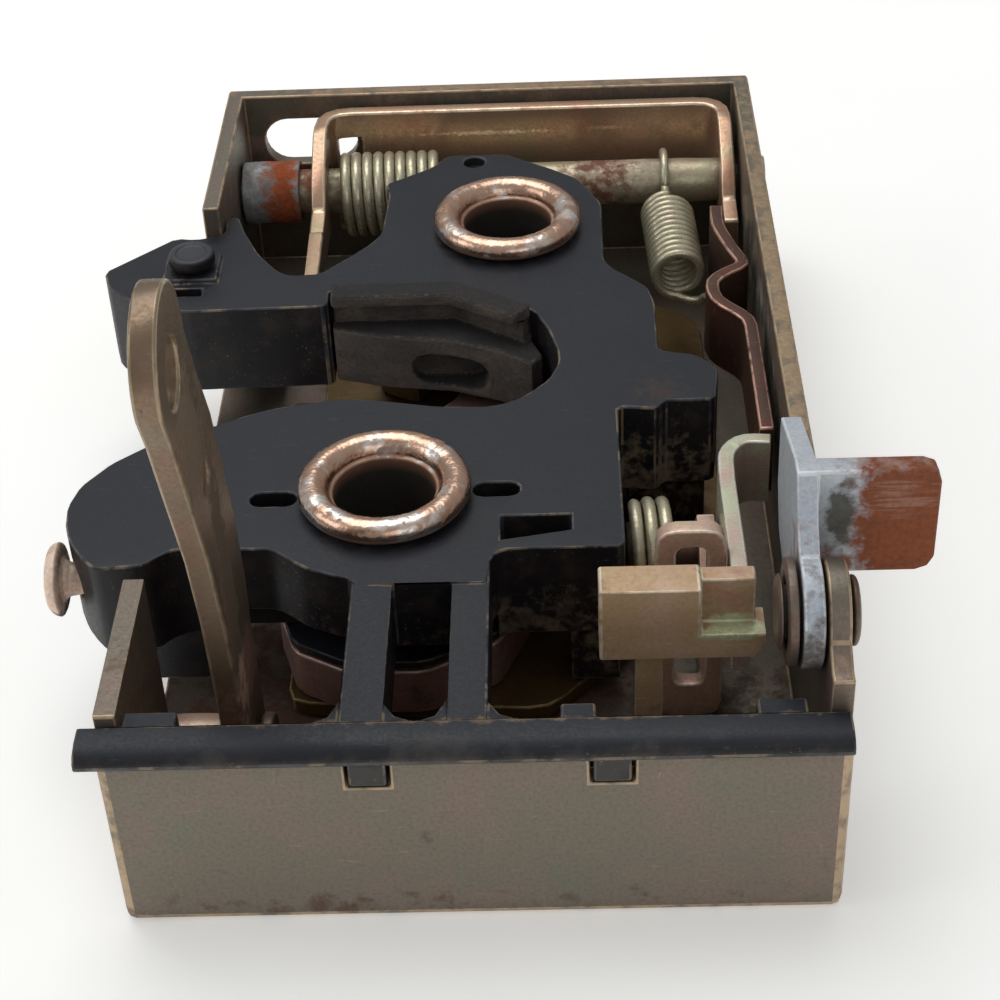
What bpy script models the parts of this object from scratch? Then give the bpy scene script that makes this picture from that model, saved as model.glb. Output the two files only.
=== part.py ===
"""Rotary-claw door latch with its case open, as separate sub-parts in metres, +Z up.

All drawing is done in millimetres from the case's front left lower corner:
X to the right, Y to the back, Z up from the underside. CENTRE moves that
corner frame to the origin: the bounding box centre, on the underside plane.
"""

import math

import bmesh
import bpy
import numpy as np

# Driving sizes, in millimetres.
CASE_W = 60.0
CASE_D = 105.0
SHEET = 1.8
SIDE_TOP = 23.4
FRONT_TOP = 18.3
LEFT_FRONT_TOP = 21.4
BODY_TOP = 20.4
BODY_LOW = 10.6
GAP = 0.3
CENTRE = np.array([29.1, 50.85, 0.0])

CLAW_PIVOT = (21.7, 31.3)
PAWL_PIVOT = (32.4, 77.4)
PAWL_DROP_DEG = 24.0
EYELET_BORE_R = 4.6
EYELET_TUBE_R = 5.6
EYELET_FLANGE_R = 7.8
EYELET_CREST = 22.8
HUB_CLEAR_R = 6.0

AXLE_Y = 95.0
AXLE_Z = 15.5
AXLE_R = 2.5
SIDE_PIVOT_Y = 10.0
SIDE_PIVOT_Z = 24.2
LEVER_PIVOT_Y = 12.5
LEVER_PIVOT_Z = 8.0
COIL_Y = 30.0
COIL_Z = 14.5
LOBE_STUD = (26.6, 15.6)

BLACK = ((0.028, 0.032, 0.038), 0.0, 0.55)
RUBBER = ((0.035, 0.030, 0.026), 0.0, 0.85)
OLIVE_ZINC = ((0.28, 0.24, 0.17), 0.85, 0.45)
TAN_ZINC = ((0.46, 0.33, 0.20), 0.85, 0.42)
PINK_ZINC = ((0.48, 0.32, 0.25), 0.85, 0.42)
GREEN_ZINC = ((0.50, 0.52, 0.28), 0.85, 0.35)
GREY_ZINC = ((0.42, 0.44, 0.48), 0.8, 0.45)
RUST = ((0.28, 0.09, 0.04), 0.2, 0.85)
WORN_STEEL = ((0.55, 0.40, 0.30), 0.9, 0.30)
SPRING_STEEL = ((0.40, 0.38, 0.29), 0.9, 0.35)


# ---------------------------------------------------------------- helpers


def clear_scene():
    """Removes every object that the scene starts with."""
    for obj in list(bpy.data.objects):
        bpy.data.objects.remove(obj, do_unlink=True)


def material(name, look):
    """A Principled material from (base colour, metallic, roughness)."""
    colour, metallic, roughness = look
    made = bpy.data.materials.new(name)
    made.use_nodes = True
    shader = made.node_tree.nodes["Principled BSDF"]
    shader.inputs["Base Color"].default_value = (*colour, 1.0)
    shader.inputs["Metallic"].default_value = metallic
    shader.inputs["Roughness"].default_value = roughness
    made.diffuse_color = (*colour, 1.0)
    return made


def new_object(name, verts, faces, look=None):
    """An object with its mesh in the part's frame, facing out."""
    points = (np.asarray(verts, float) - CENTRE) / 1000.0
    mesh = bpy.data.meshes.new(name)
    mesh.from_pydata([tuple(p) for p in points], [], faces)
    work = bmesh.new()
    work.from_mesh(mesh)
    bmesh.ops.recalc_face_normals(work, faces=work.faces)
    if work.calc_volume(signed=True) < 0:
        bmesh.ops.reverse_faces(work, faces=work.faces)
    work.to_mesh(mesh)
    work.free()
    obj = bpy.data.objects.new(name, mesh)
    bpy.context.scene.collection.objects.link(obj)
    if look is not None:
        mesh.materials.append(material(name, look))
    return obj


def helper(name, verts, faces):
    """A hidden object that a Boolean uses."""
    obj = new_object(name, verts, faces)
    obj.hide_render = True
    obj.display_type = "WIRE"
    return obj


def boolean(target, other, operation):
    """Adds a Boolean of target with other."""
    step = target.modifiers.new(other.name[-20:], "BOOLEAN")
    step.solver = "EXACT"
    step.operation = operation
    step.object = other


def rounded(points, radius, steps=3):
    """A closed outline with each corner turned into a short arc."""
    pts = [np.array(p, float) for p in points]
    out = []
    for i, corner in enumerate(pts):
        before = pts[i - 1] - corner
        after = pts[(i + 1) % len(pts)] - corner
        back, ahead = np.linalg.norm(before), np.linalg.norm(after)
        cut = min(radius, 0.45 * back, 0.45 * ahead)
        start = corner + before / back * cut
        end = corner + after / ahead * cut
        for k in range(steps + 1):
            t = k / steps
            arc = (1 - t) ** 2 * start + 2 * t * (1 - t) * corner + t**2 * end
            out.append(tuple(arc))
    return out


def circle(centre, radius, steps=24):
    """A closed circular outline."""
    angles = [2 * math.pi * k / steps for k in range(steps)]
    return [
        (centre[0] + radius * math.cos(a), centre[1] + radius * math.sin(a))
        for a in angles
    ]


def lift(u, v, w, axis):
    """Outline coordinates (u, v) and depth w as a point: depth runs along axis."""
    if axis == "Z":
        return (u, v, w)
    if axis == "X":
        return (w, u, v)
    return (u, w, v)


def prism_data(outline, low, high, axis="Z"):
    """Vertices and faces of an outline carried from low to high along axis."""
    count = len(outline)
    verts = [lift(u, v, low, axis) for u, v in outline]
    verts += [lift(u, v, high, axis) for u, v in outline]
    faces = [tuple(range(count)), tuple(range(count, 2 * count))]
    for i in range(count):
        j = (i + 1) % count
        faces.append((i, j, count + j, count + i))
    return verts, faces


def prism(name, outline, low, high, look, axis="Z"):
    return new_object(name, *prism_data(outline, low, high, axis), look)


def add_prism(target, outline, low, high, axis="Z", tag="add"):
    name = f"{target.name}_{tag}{len(target.modifiers)}"
    other = helper(name, *prism_data(outline, low, high, axis))
    boolean(target, other, "UNION")


def cut_prism(target, outline, low, high, axis="Z"):
    name = f"{target.name}_cut{len(target.modifiers)}"
    other = helper(name, *prism_data(outline, low, high, axis))
    boolean(target, other, "DIFFERENCE")


def rect(u0, u1, v0, v1):
    return [(u0, v0), (u1, v0), (u1, v1), (u0, v1)]


def slot(u0, u1, v0, v1, steps=5):
    """A rectangle with its two short ends rounded."""
    radius = (v1 - v0) / 2
    middle = (v0 + v1) / 2
    right = [
        (u1 - radius + radius * math.sin(a), middle - radius * math.cos(a))
        for a in np.linspace(0, math.pi, steps + 1)
    ]
    left = [
        (u0 + radius - radius * math.sin(a), middle + radius * math.cos(a))
        for a in np.linspace(0, math.pi, steps + 1)
    ]
    return right + left


def lathe_data(profile, centre, axis="Z", steps=28, closed=True):
    """A profile of (radius, depth) turned about an axis through centre.

    A closed profile makes a ring. An open one starts and ends on the axis.
    """
    rings = [p for p in profile if p[0] > 1e-6]
    verts = []
    for radius, depth in rings:
        for k in range(steps):
            a = 2 * math.pi * k / steps
            u = centre[0] + radius * math.cos(a)
            v = centre[1] + radius * math.sin(a)
            verts.append(lift(u, v, depth, axis))
    faces = []
    spans = len(rings) if closed else len(rings) - 1
    for i in range(spans):
        j = (i + 1) % len(rings)
        for k in range(steps):
            m = (k + 1) % steps
            faces.append(
                (i * steps + k, i * steps + m, j * steps + m, j * steps + k)
            )
    if not closed:
        faces.append(tuple(range(steps)))
        faces.append(tuple(range((len(rings) - 1) * steps, len(rings) * steps)))
    return verts, faces


def lathe(name, profile, centre, look, axis="Z", steps=28, closed=True):
    obj = new_object(name, *lathe_data(profile, centre, axis, steps, closed), look)
    return smooth(obj)


def smooth(obj, angle=35.0):
    """Smooth shading with edges kept where faces meet at more than angle."""
    for face in obj.data.polygons:
        face.use_smooth = True
    obj.data.set_sharp_from_angle(angle=math.radians(angle))
    return obj


def wire(name, path, radius, look, sides=6):
    """A round wire along a path, with frames carried along without twist."""
    pts = np.array(path, float)
    tangent = np.gradient(pts, axis=0)
    tangent /= np.linalg.norm(tangent, axis=1)[:, None]
    seed = np.array([0.0, 0.0, 1.0])
    if abs(tangent[0] @ seed) > 0.9:
        seed = np.array([1.0, 0.0, 0.0])
    normal = np.cross(tangent[0], seed)
    verts = []
    for point, along in zip(pts, tangent):
        normal = normal - along * (normal @ along)
        normal /= np.linalg.norm(normal)
        side = np.cross(along, normal)
        for k in range(sides):
            a = 2 * math.pi * k / sides
            verts.append(point + radius * (math.cos(a) * normal + math.sin(a) * side))
    faces = [tuple(range(sides))]
    faces.append(tuple(range((len(pts) - 1) * sides, len(pts) * sides)))
    for i in range(len(pts) - 1):
        for k in range(sides):
            m = (k + 1) % sides
            a, b = i * sides, (i + 1) * sides
            faces.append((a + k, a + m, b + m, b + k))
    obj = new_object(name, verts, faces, look)
    return smooth(obj, 70.0)


def helix(centre, radius, low, high, turns, axis, start_deg=0.0, per_turn=14):
    """Points of a coil about an axis, from low to high along it."""
    count = round(turns * per_turn)
    out = []
    for k in range(count + 1):
        t = k / count
        a = math.radians(start_deg) + 2 * math.pi * turns * t
        u = centre[0] + radius * math.cos(a)
        v = centre[1] + radius * math.sin(a)
        out.append(lift(u, v, low + (high - low) * t, axis))
    return out


def strip(path, thickness):
    """The closed outline of a sheet strip seen edge-on, along a path."""
    pts = np.array(path, float)
    tangent = np.gradient(pts, axis=0)
    tangent /= np.linalg.norm(tangent, axis=1)[:, None]
    side = np.stack([-tangent[:, 1], tangent[:, 0]], 1) * thickness / 2
    return [tuple(p) for p in np.concatenate([pts + side, (pts - side)[::-1]])]


def eased(points, radius, steps=3):
    """An open path with its inner corners turned into short arcs."""
    ring = rounded(points, radius, steps)
    inner = ring[steps + 1 : -(steps + 1)]
    return [tuple(points[0])] + inner + [tuple(points[-1])]


# ------------------------------------------------------------------- case


def ear_outline():
    """The right wall's raised ear around the side lever's rivet."""
    low, y, z, r = 15.0, SIDE_PIVOT_Y, SIDE_PIVOT_Z, 4.3
    arc = [
        (y - r * math.cos(a), z + r * math.sin(a))
        for a in np.linspace(0.1, math.pi, 12)
    ]
    return [(2.6, low), (2.6, 22.8)] + arc + [(y + r, low)]


def make_case():
    """Folded sheet tray: floor, four walls, notches, holes and striker way."""
    obj = prism("case", rect(0, CASE_W, 0, CASE_D), 0, SIDE_TOP, OLIVE_ZINC)
    inner = rect(SHEET, CASE_W - SHEET, SHEET, CASE_D - SHEET)
    cut_prism(obj, inner, SHEET, SIDE_TOP + 5)
    cut_prism(obj, rect(-5, CASE_W + 5, -5, 2.5), FRONT_TOP, SIDE_TOP + 5)
    add_prism(obj, ear_outline(), CASE_W - SHEET, CASE_W, "X")
    cut_prism(obj, rect(-5, SHEET + 0.5, 19.5, 78.0), SHEET, SIDE_TOP + 5)
    cut_prism(obj, rect(-5, SHEET + 0.5, -5, 19.6), LEFT_FRONT_TOP, SIDE_TOP + 5)
    for left in (19.8, 39.2):
        cut_prism(obj, rect(left, left + 3.6, -1, SHEET + 0.5), 15.4, FRONT_TOP + 2)
    cut_prism(obj, slot(3.8, 14.6, 14.6, 20.4, 12), CASE_D - 4, CASE_D + 2, "Y")
    cut_prism(obj, slot(-6, 34.5, 50.0, 59.0, 8), -2, SHEET + 1)
    for pivot in (CLAW_PIVOT, PAWL_PIVOT):
        cut_prism(obj, circle(pivot, HUB_CLEAR_R, 28), -2, SHEET + 1)
    cut_prism(obj, circle((SIDE_PIVOT_Y, SIDE_PIVOT_Z), 2.3, 20), 55, 65, "X")
    cut_prism(obj, circle((AXLE_Y, AXLE_Z), 1.9, 20), -3, 65, "X")
    cut_prism(obj, circle((LEVER_PIVOT_Y, LEVER_PIVOT_Z), 1.9, 20), -3, 4, "X")
    return obj


# --------------------------------------------------------------- moulding


def plate_outline():
    """The black moulding seen from above, from its front edge round."""
    front = [(19.4, 19.0), (31.2, 19.0), (31.2, 22.4), (32.4, 23.5), (42.9, 23.5)]
    right = [(42.9, 44.2), (46.9, 43.7), (47.1, 45.0), (52.2, 45.0), (52.8, 50.0)]
    right += [(51.0, 52.5), (47.2, 53.5), (47.3, 62.0), (46.7, 65.0), (43.2, 68.8)]
    nose = [(42.4, 70.5), (42.5, 82.0), (40.0, 87.5), (37.0, 90.0), (32.0, 93.5)]
    nose += [(25.5, 93.5), (24.0, 91.0), (18.9, 87.5), (19.4, 85.0), (19.0, 77.0)]
    arm = [(18.0, 75.0), (15.5, 72.0), (13.0, 69.3), (10.0, 69.0), (8.5, 70.0)]
    arm += [(6.2, 73.5), (4.3, 78.0), (3.2, 81.5), (2.1, 81.5), (2.1, 77.6)]
    arm += [(-1.0, 76.8), (-3.0, 77.2), (-9.7, 70.7), (-8.8, 67.5), (-4.5, 63.6)]
    channel = [(0.0, 62.7), (14.2, 63.0), (14.2, 66.0), (27.5, 66.0), (35.2, 61.0)]
    channel += [(36.6, 57.5), (37.4, 54.0), (37.5, 51.8), (36.5, 49.0), (34.5, 46.7)]
    channel += [(33.0, 45.5), (31.0, 44.8), (26.0, 45.0), (20.0, 46.3), (16.0, 46.6)]
    channel += [(10.0, 45.3), (7.5, 44.2), (5.5, 43.0)]
    lobe = [(2.0, 41.6), (-1.0, 39.8), (-4.0, 37.2), (-6.2, 34.0), (-6.9, 31.0)]
    lobe += [(-6.6, 28.0), (-5.5, 25.3), (-4.2, 23.3), (-3.0, 22.0), (1.3, 22.4)]
    window = [(2.3, 23.8), (4.0, 24.6), (12.0, 24.2), (13.5, 23.0), (15.0, 21.7)]
    window += [(17.5, 20.5), (19.4, 19.9)]
    return front + right + nose + arm + channel + lobe + window


def make_body():
    """Black moulding: deep plate, ribs, front rim, snap tabs, feet, pockets."""
    outline = rounded(plate_outline(), 0.5, 1)
    obj = prism("latch_body", outline, BODY_LOW, BODY_TOP, BLACK)
    add_prism(obj, rect(19.4, 22.9, 2.15, 20.5), 14.0, BODY_TOP - 0.01)
    add_prism(obj, rect(28.0, 31.2, 2.15, 20.5), 14.0, BODY_TOP - 0.02)
    rim = [(-0.9, 18.7), (-1.2, 19.2), (-1.1, 19.8), (-0.6, 20.35), (0.4, 20.6)]
    rim += [(2.2, 20.6), (2.2, 18.6), (-0.4, 18.6)]
    add_prism(obj, rim, -1.3, CASE_W - 0.2, "X")
    for left, right in ((19.4, 22.9), (28.0, 31.2)):
        foot = [(left - 2.4, 1.4), (left - 2.2, 2.5), (left - 1.0, 3.0), (left, 4.6)]
        foot += [(right, 4.6), (right + 1.0, 3.0), (right + 2.2, 2.5)]
        foot += [(right + 2.4, 1.4)]
        add_prism(obj, foot, 18.62, BODY_TOP - 0.03)
    for left, right in ((2.2, 6.5), (37.0, 39.8), (52.5, 56.5)):
        add_prism(obj, rect(left, right, 1.5, 4.0), 18.64, BODY_TOP - 0.04)
    add_prism(obj, rect(-1.0, 2.4, 1.5, 2.2), 18.66, BODY_TOP - 0.05)
    for left in (20.1, 39.5):
        add_prism(obj, rect(left, left + 3.0, -0.25, 1.6), 15.8, 19.0)
        add_prism(obj, rect(left - 0.4, left + 3.4, 2.12, 3.3), 15.0, 19.2)
    for x0, x1, y0, y1 in ((44, 51.5, 47, 52), (2.5, 7.4, 73.5, 79)):
        add_prism(obj, rect(x0, x1, y0, y1), 4.2, BODY_LOW + 1)
    for x0, x1, y0, y1 in ((-4, 5.5, 25.6, 29.5), (38, 42.4, 24.2, 28.5)):
        add_prism(obj, rect(x0, x1, y0, y1), 4.2, BODY_LOW + 1)
    add_prism(obj, rect(-3.2, 2.4, 67.9, 73.1), BODY_TOP - 0.5, BODY_TOP + 0.5)
    cut_prism(obj, rect(6.5, 31.6, 15.0, 25.6), 5, 13.4)
    cut_prism(obj, rect(16.5, 46, 86.5, 97), 5, 18.7)
    for pivot in (CLAW_PIVOT, PAWL_PIVOT):
        cut_prism(obj, circle(pivot, HUB_CLEAR_R, 28), 3, 25)
        cut_prism(obj, circle(pivot, 8.9, 28), 3, 14.6)
    cut_prism(obj, slot(9.5, 13.8, 30.3, 32.3), 9, 22)
    cut_prism(obj, slot(29.5, 33.8, 31.0, 33.0), 9, 22)
    wedge = [(32.1, 24.8), (38.3, 26.0), (38.3, 28.1), (32.1, 28.1)]
    cut_prism(obj, wedge, 15.5, 22)
    cut_prism(obj, circle((28.6, 91.8), 1.2, 12), 19.2, 22)
    cut_prism(obj, rect(-2.0, 1.0, 65.6, 67.0), 18.5, 22)
    cut_prism(obj, circle((-0.3, 70.5), 1.6, 16), 13.0, 22)
    cut_prism(obj, circle(LOBE_STUD, 1.7, 16), -12, -3.0, "X")
    cut_prism(obj, rounded(rect(33.5, 41.0, 31.0, 42.0), 1.5, 2), 5, 17.6)
    cut_prism(obj, rounded(rect(2.5, 9.0, 30.5, 40.5), 1.5, 2), 5, 17.6)
    return obj


def make_buffer():
    """Rubber striker buffer along the far side of the channel."""
    outline = [(14.5, 63.3), (20.0, 61.6), (26.5, 60.6), (31.5, 58.6)]
    outline += [(34.8, 56.0), (35.9, 57.4), (34.7, 60.7), (27.2, 65.5), (14.5, 65.6)]
    obj = prism("striker_buffer", outline, 11.0, 17.4, RUBBER)
    wall = [(14.5, 64.6), (14.5, 65.7), (27.2, 65.6), (34.7, 60.8), (34.0, 60.0)]
    wall += [(27.0, 64.6)]
    add_prism(obj, wall, 17.0, 21.2)
    lip = [(14.5, 63.2), (14.5, 65.68), (27.2, 65.58), (34.7, 60.78), (33.2, 58.9)]
    lip += [(26.4, 63.2)]
    add_prism(obj, lip, 20.0, 21.22)
    cut_prism(obj, slot(22.5, 30.5, 11.9, 15.4), 55, 62.6, "Y")
    return obj


# ---------------------------------------------------------- claw and pawl


def claw_outline():
    """The fork: front prong across the channel, mouth, rear prong, hub."""
    hub = [(13.0, 23.5), (18.0, 20.6), (25.0, 20.4), (31.5, 24.0), (34.4, 31.0)]
    rear = [(36.0, 40.0), (38.5, 50.0), (38.5, 58.0), (35.5, 64.0), (31.0, 66.8)]
    rear += [(27.6, 66.3), (26.9, 62.6), (25.0, 60.6)]
    mouth = [(29.6, 56.8), (31.0, 55.0), (31.0, 52.0), (29.3, 49.8), (26.8, 49.3)]
    mouth += [(24.3, 50.3)]
    front = [(16.2, 57.1), (15.8, 62.4), (9.2, 62.4), (8.2, 55.0), (10.0, 46.0)]
    front += [(11.0, 38.0), (10.9, 30.0)]
    return hub + rear + mouth + front


def make_claw():
    obj = prism("claw", rounded(claw_outline(), 0.7, 1), 4.0, 9.0, PINK_ZINC)
    cut_prism(obj, circle(CLAW_PIVOT, HUB_CLEAR_R, 28), 2, 12)
    return obj


def make_claw_jacket():
    """Thin plastic quietening layer on the claw's upper side."""
    outline = [(13.0, 23.5), (18.0, 20.6), (25.0, 20.4), (31.5, 24.0), (34.4, 31.0)]
    outline += [(36.0, 40.0), (37.6, 50.0), (32.2, 51.0), (30.0, 48.9), (26.6, 48.2)]
    outline += [(23.8, 49.1), (15.6, 56.0), (13.0, 59.6), (9.8, 58.0), (11.0, 46.0)]
    outline += [(11.6, 38.0), (10.9, 30.0)]
    obj = prism("claw_jacket", rounded(outline, 0.7, 1), 9.3, 10.2, BLACK)
    cut_prism(obj, circle(CLAW_PIVOT, HUB_CLEAR_R, 28), 2, 12)
    return obj


def turned(points, pivot, degrees):
    """Points turned about a pivot, counter-clockwise seen from above."""
    a = math.radians(degrees)
    out = []
    for x, y in points:
        dx, dy = x - pivot[0], y - pivot[1]
        out.append(
            (
                pivot[0] + dx * math.cos(a) - dy * math.sin(a),
                pivot[1] + dx * math.sin(a) + dy * math.cos(a),
            )
        )
    return out


def make_pawl():
    """Drawn dropped in behind the claw, then lifted clear for the rest pose."""
    tooth = [(24.6, 84.0), (21.2, 76.0), (20.4, 68.5), (22.0, 65.6), (26.9, 65.2)]
    tail = [(27.0, 69.0), (33.0, 68.6), (40.0, 71.5), (47.6, 77.0), (47.0, 81.0)]
    tail += [(40.5, 81.5), (37.0, 85.4), (31.0, 86.4)]
    outline = turned(tooth + tail, PAWL_PIVOT, -PAWL_DROP_DEG)
    obj = prism("pawl", rounded(outline, 1.2, 2), 4.0, 9.0, TAN_ZINC)
    cut_prism(obj, circle(PAWL_PIVOT, HUB_CLEAR_R, 28), 2, 12)
    return obj


def make_eyelet(name, pivot):
    """Rolled-over tubular rivet: bore for a fixing screw, pivot outside."""
    low, seat, crest = 0.2, BODY_TOP + GAP, EYELET_CREST
    profile = [(EYELET_TUBE_R, low), (EYELET_TUBE_R, seat), (7.1, seat)]
    profile += [(7.6, 21.2), (EYELET_FLANGE_R, 21.8), (7.35, 22.4), (6.8, crest)]
    profile += [(6.1, 22.75), (5.4, 22.4), (4.9, 21.7), (EYELET_BORE_R, 20.6)]
    profile += [(EYELET_BORE_R, low)]
    return lathe(name, profile, pivot, WORN_STEEL, steps=32)


def make_hidden_springs():
    """Return coils round the two eyelets, in the moulding's pockets."""
    for name, pivot, start in (
        ("claw_spring", CLAW_PIVOT, 180.0),
        ("pawl_spring", PAWL_PIVOT, 20.0),
    ):
        coil = helix(pivot, 7.4, 11.4, 13.7, 1.6, "Z", start, 16)
        wire(name, coil, 0.6, SPRING_STEEL, 6)


def make_support_plate():
    """Steel plate on the case floor under the claw and the pawl."""
    outline = [(12.0, 22.5), (36.0, 21.0), (53.5, 41.0), (53.5, 84.0), (45.0, 90.0)]
    outline += [(21.0, 90.0), (12.0, 84.0), (12.0, 61.0), (36.5, 61.0), (36.5, 48.0)]
    outline += [(12.0, 48.0)]
    obj = prism("support_plate", rounded(outline, 2.0, 2), 2.1, 3.7, TAN_ZINC)
    for pivot in (CLAW_PIVOT, PAWL_PIVOT):
        cut_prism(obj, circle(pivot, HUB_CLEAR_R, 28), 1, 6)
    return obj


# ------------------------------------------------------ axle, bail, spring


def make_axle():
    """Cross axle through both side walls, with riveted ends."""
    y, z = AXLE_Y, AXLE_Z
    profile = [(2.6, -1.5), (2.6, -0.3), (1.6, -0.3), (1.6, 2.1)]
    profile += [(AXLE_R, 2.15), (AXLE_R, 57.9), (1.6, 57.9), (1.6, 60.3)]
    profile += [(2.6, 60.3), (2.6, 61.3)]
    lathe("bail_axle", profile, (y, z), RUST, "X", 20, closed=False)
    sleeve = [(3.5, 2.1), (3.5, 8.6), (2.8, 8.6), (2.8, 2.1)]
    lathe("axle_collar", sleeve, (y, z), GREY_ZINC, "X", 20)


def make_bail():
    """U-shaped release bail: web along the back, two arms on the axle."""
    path = [(11.1, 84.2), (11.1, 101.2), (56.8, 101.2), (56.8, 84.2)]
    plan = strip(eased(path, 3.2, 4), 1.6)
    obj = prism("release_bail", plan, 11.0, 22.5, TAN_ZINC)
    side = [(80.0, 23.5), (104.0, 23.5), (104.0, 22.5), (96.0, 22.2), (90.5, 19.6)]
    side += [(88.0, 16.9), (80.0, 15.9)]
    cut_prism(obj, side, 5, 60, "X")
    low = [(80.0, 12.8), (90.5, 12.0), (95.0, 11.6), (99.0, 12.6), (104.0, 13.0)]
    low += [(104.0, 9.0), (80.0, 9.0)]
    cut_prism(obj, low, 5, 60, "X")
    front = [(84.6, 12.9), (84.6, 16.4), (70.6, 15.2), (70.2, 14.0), (71.0, 13.2)]
    add_prism(obj, front, 10.32, 11.88, "X")
    cut_prism(obj, rect(12.6, 15.4, 10.0, 19.2), 99.5, 103.0, "Y")
    cut_prism(obj, circle((AXLE_Y, AXLE_Z), AXLE_R + GAP, 24), 9.6, 60, "X")
    return obj


def make_bail_spring():
    """Torsion coil on the axle, one leg down to the floor, one on the web."""
    y, z, r = AXLE_Y, AXLE_Z - 0.6, 4.2
    coil = helix((y, z), r, 13.2, 24.4, 8.0, "X", -90.0, 14)
    first = [(12.7, y + 4.4, z - r - 0.2), (12.9, y + 2.2, z - r)]
    last = [(24.6, y + 2.2, z - r), (24.9, y + 4.6, z - r)]
    wire("bail_torsion_spring", first + coil + last, 0.62, SPRING_STEEL, 6)


def make_link_spring():
    """Close-wound extension coil with one hook over the axle, one free tail."""
    x, z, r = 49.9, AXLE_Z, 2.5
    hook_r = AXLE_R + 0.75
    hook = [
        (x, AXLE_Y + hook_r * math.cos(a), z + hook_r * math.sin(a))
        for a in np.linspace(math.radians(-30), math.radians(165), 10)
    ]
    neck = [(x, 90.2, z + 0.6), (x, 88.9, z + 1.7)]
    straight = helix((x, z), r, 87.6, 74.6, 12.5, "Y", 90.0, 12)
    coil = [(u + 0.04 * (87.6 - v), v, w) for u, v, w in straight]
    x += 0.5
    tail = [(x + 1.2, 74.2, z - 2.9), (x + 2.4, 73.9, z - 2.7), (x + 2.8, 73.6, z - 1.9)]
    wire("link_return_spring", hook + neck + coil + tail, 0.46, SPRING_STEEL, 6)


# --------------------------------------------------- right-hand lever train


def make_slide():
    """Link strip, hooked lever strip and tan block that shift together."""
    path = [(54.9, 82.2), (54.7, 78.4), (56.0, 73.2), (57.1, 70.3), (55.0, 69.0)]
    path += [(53.3, 67.2), (53.5, 63.8), (56.7, 60.0), (56.7, 41.2)]
    plan = strip(eased(path, 1.3, 2), 1.4)
    prism("link_strip", plan, 12.0, 19.6, PINK_ZINC)
    hook = [(56.9, 39.6), (54.2, 39.9), (52.6, 37.8), (52.4, 34.0), (52.4, 15.7)]
    lever = prism("lock_lever", strip(eased(hook, 1.6, 3), 1.5), 12.6, 21.2, GREEN_ZINC)
    slope = [(10.0, 20.4), (21.0, 20.9), (33.0, 20.0), (45.0, 19.4), (45.0, 24.0)]
    slope += [(10.0, 24.0)]
    cut_prism(lever, slope, 48, 60, "X")
    face = [(40.3, 17.6), (53.2, 17.6), (54.0, 18.3), (54.0, 20.2), (48.6, 20.2)]
    face += [(48.6, 25.0), (40.3, 25.0)]
    block = prism("lock_block", face, 11.9, 15.3, TAN_ZINC, "Y")
    add_prism(block, rect(48.0, 53.2, 13.6, 15.3), 19.0, 24.7)
    add_prism(block, rect(43.3, 45.6, 12.6, 14.2), 5.0, 18.5)
    return block


def side_lever_outline():
    """The side lever's plate in (Y, Z): hub, rear limb and raised front."""
    y, z, r = SIDE_PIVOT_Y, SIDE_PIVOT_Z, 4.7
    hub = [
        (y + r * math.cos(a), z + r * math.sin(a))
        for a in np.linspace(math.radians(75), math.radians(290), 14)
    ]
    rear = [(19.0, 19.2), (25.0, 20.6), (27.4, 24.0), (27.5, 30.8)]
    top = [(17.4, 34.0), (15.4, 34.0), (13.4, 30.4)]
    return hub + rear + top


def make_side_lever():
    obj = prism("side_lever", side_lever_outline(), 56.2, 57.9, GREY_ZINC, "X")
    low, high = 23.7, 34.0
    tab = [(56.2, low), (66.3, low), (67.3, low + 0.4), (67.8, low + 1.4)]
    tab += [(67.8, high - 1.4), (67.4, high - 0.4), (66.4, high), (56.2, high)]
    add_prism(obj, tab, 15.4, 17.4, "Y")
    pivot = (SIDE_PIVOT_Y, SIDE_PIVOT_Z)
    cut_prism(obj, circle(pivot, 2.3, 20), 50, 60, "X")
    profile = [(4.4, 55.1), (4.4, 55.9), (2.3, 55.9), (2.3, 55.1)]
    lathe("side_lever_washer", profile, pivot, GREY_ZINC, "X", 24)
    rivet = [(2.8, 54.4), (3.1, 54.5), (3.1, 54.8), (2.0, 54.8), (2.0, 60.3)]
    rivet += [(2.9, 60.3), (2.9, 60.7), (2.4, 61.0)]
    lathe("side_lever_rivet", rivet, pivot, TAN_ZINC, "X", 24, closed=False)


def make_coil_set():
    """Torsion coil on a short pin, held by a folded bracket with an arch."""
    pivot = (COIL_Y, COIL_Z)
    coil = helix(pivot, 4.3, 43.9, 46.9, 2.3, "X", 60.0, 16)
    wire("lock_torsion_spring", coil, 0.6, SPRING_STEEL, 6)
    plan = rounded(rect(45.4, 51.4, 2.1, 23.6), 1.8, 3)
    arch = prism("spring_bracket", plan, 21.2, 22.8, PINK_ZINC, "Y")
    cut_prism(arch, rounded(rect(47.1, 49.8, 6.0, 21.8), 1.0, 3), 20, 24, "Y")
    ear = [(22.0, 2.12), (34.0, 2.12), (34.0, 14.6), (32.0, 16.9), (28.0, 16.9)]
    ear += [(25.5, 14.4), (22.0, 11.0)]
    add_prism(arch, ear, 49.6, 51.2, "X")
    cut_prism(arch, circle(pivot, 1.7, 16), 48, 52.5, "X")
    pin = [(2.6, 42.9 + GAP), (2.6, 43.9), (1.4, 43.9), (1.4, 51.0)]
    lathe("spring_pin", pin, pivot, GREY_ZINC, "X", 16, closed=False)


# ---------------------------------------------------------- outside lever


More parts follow.
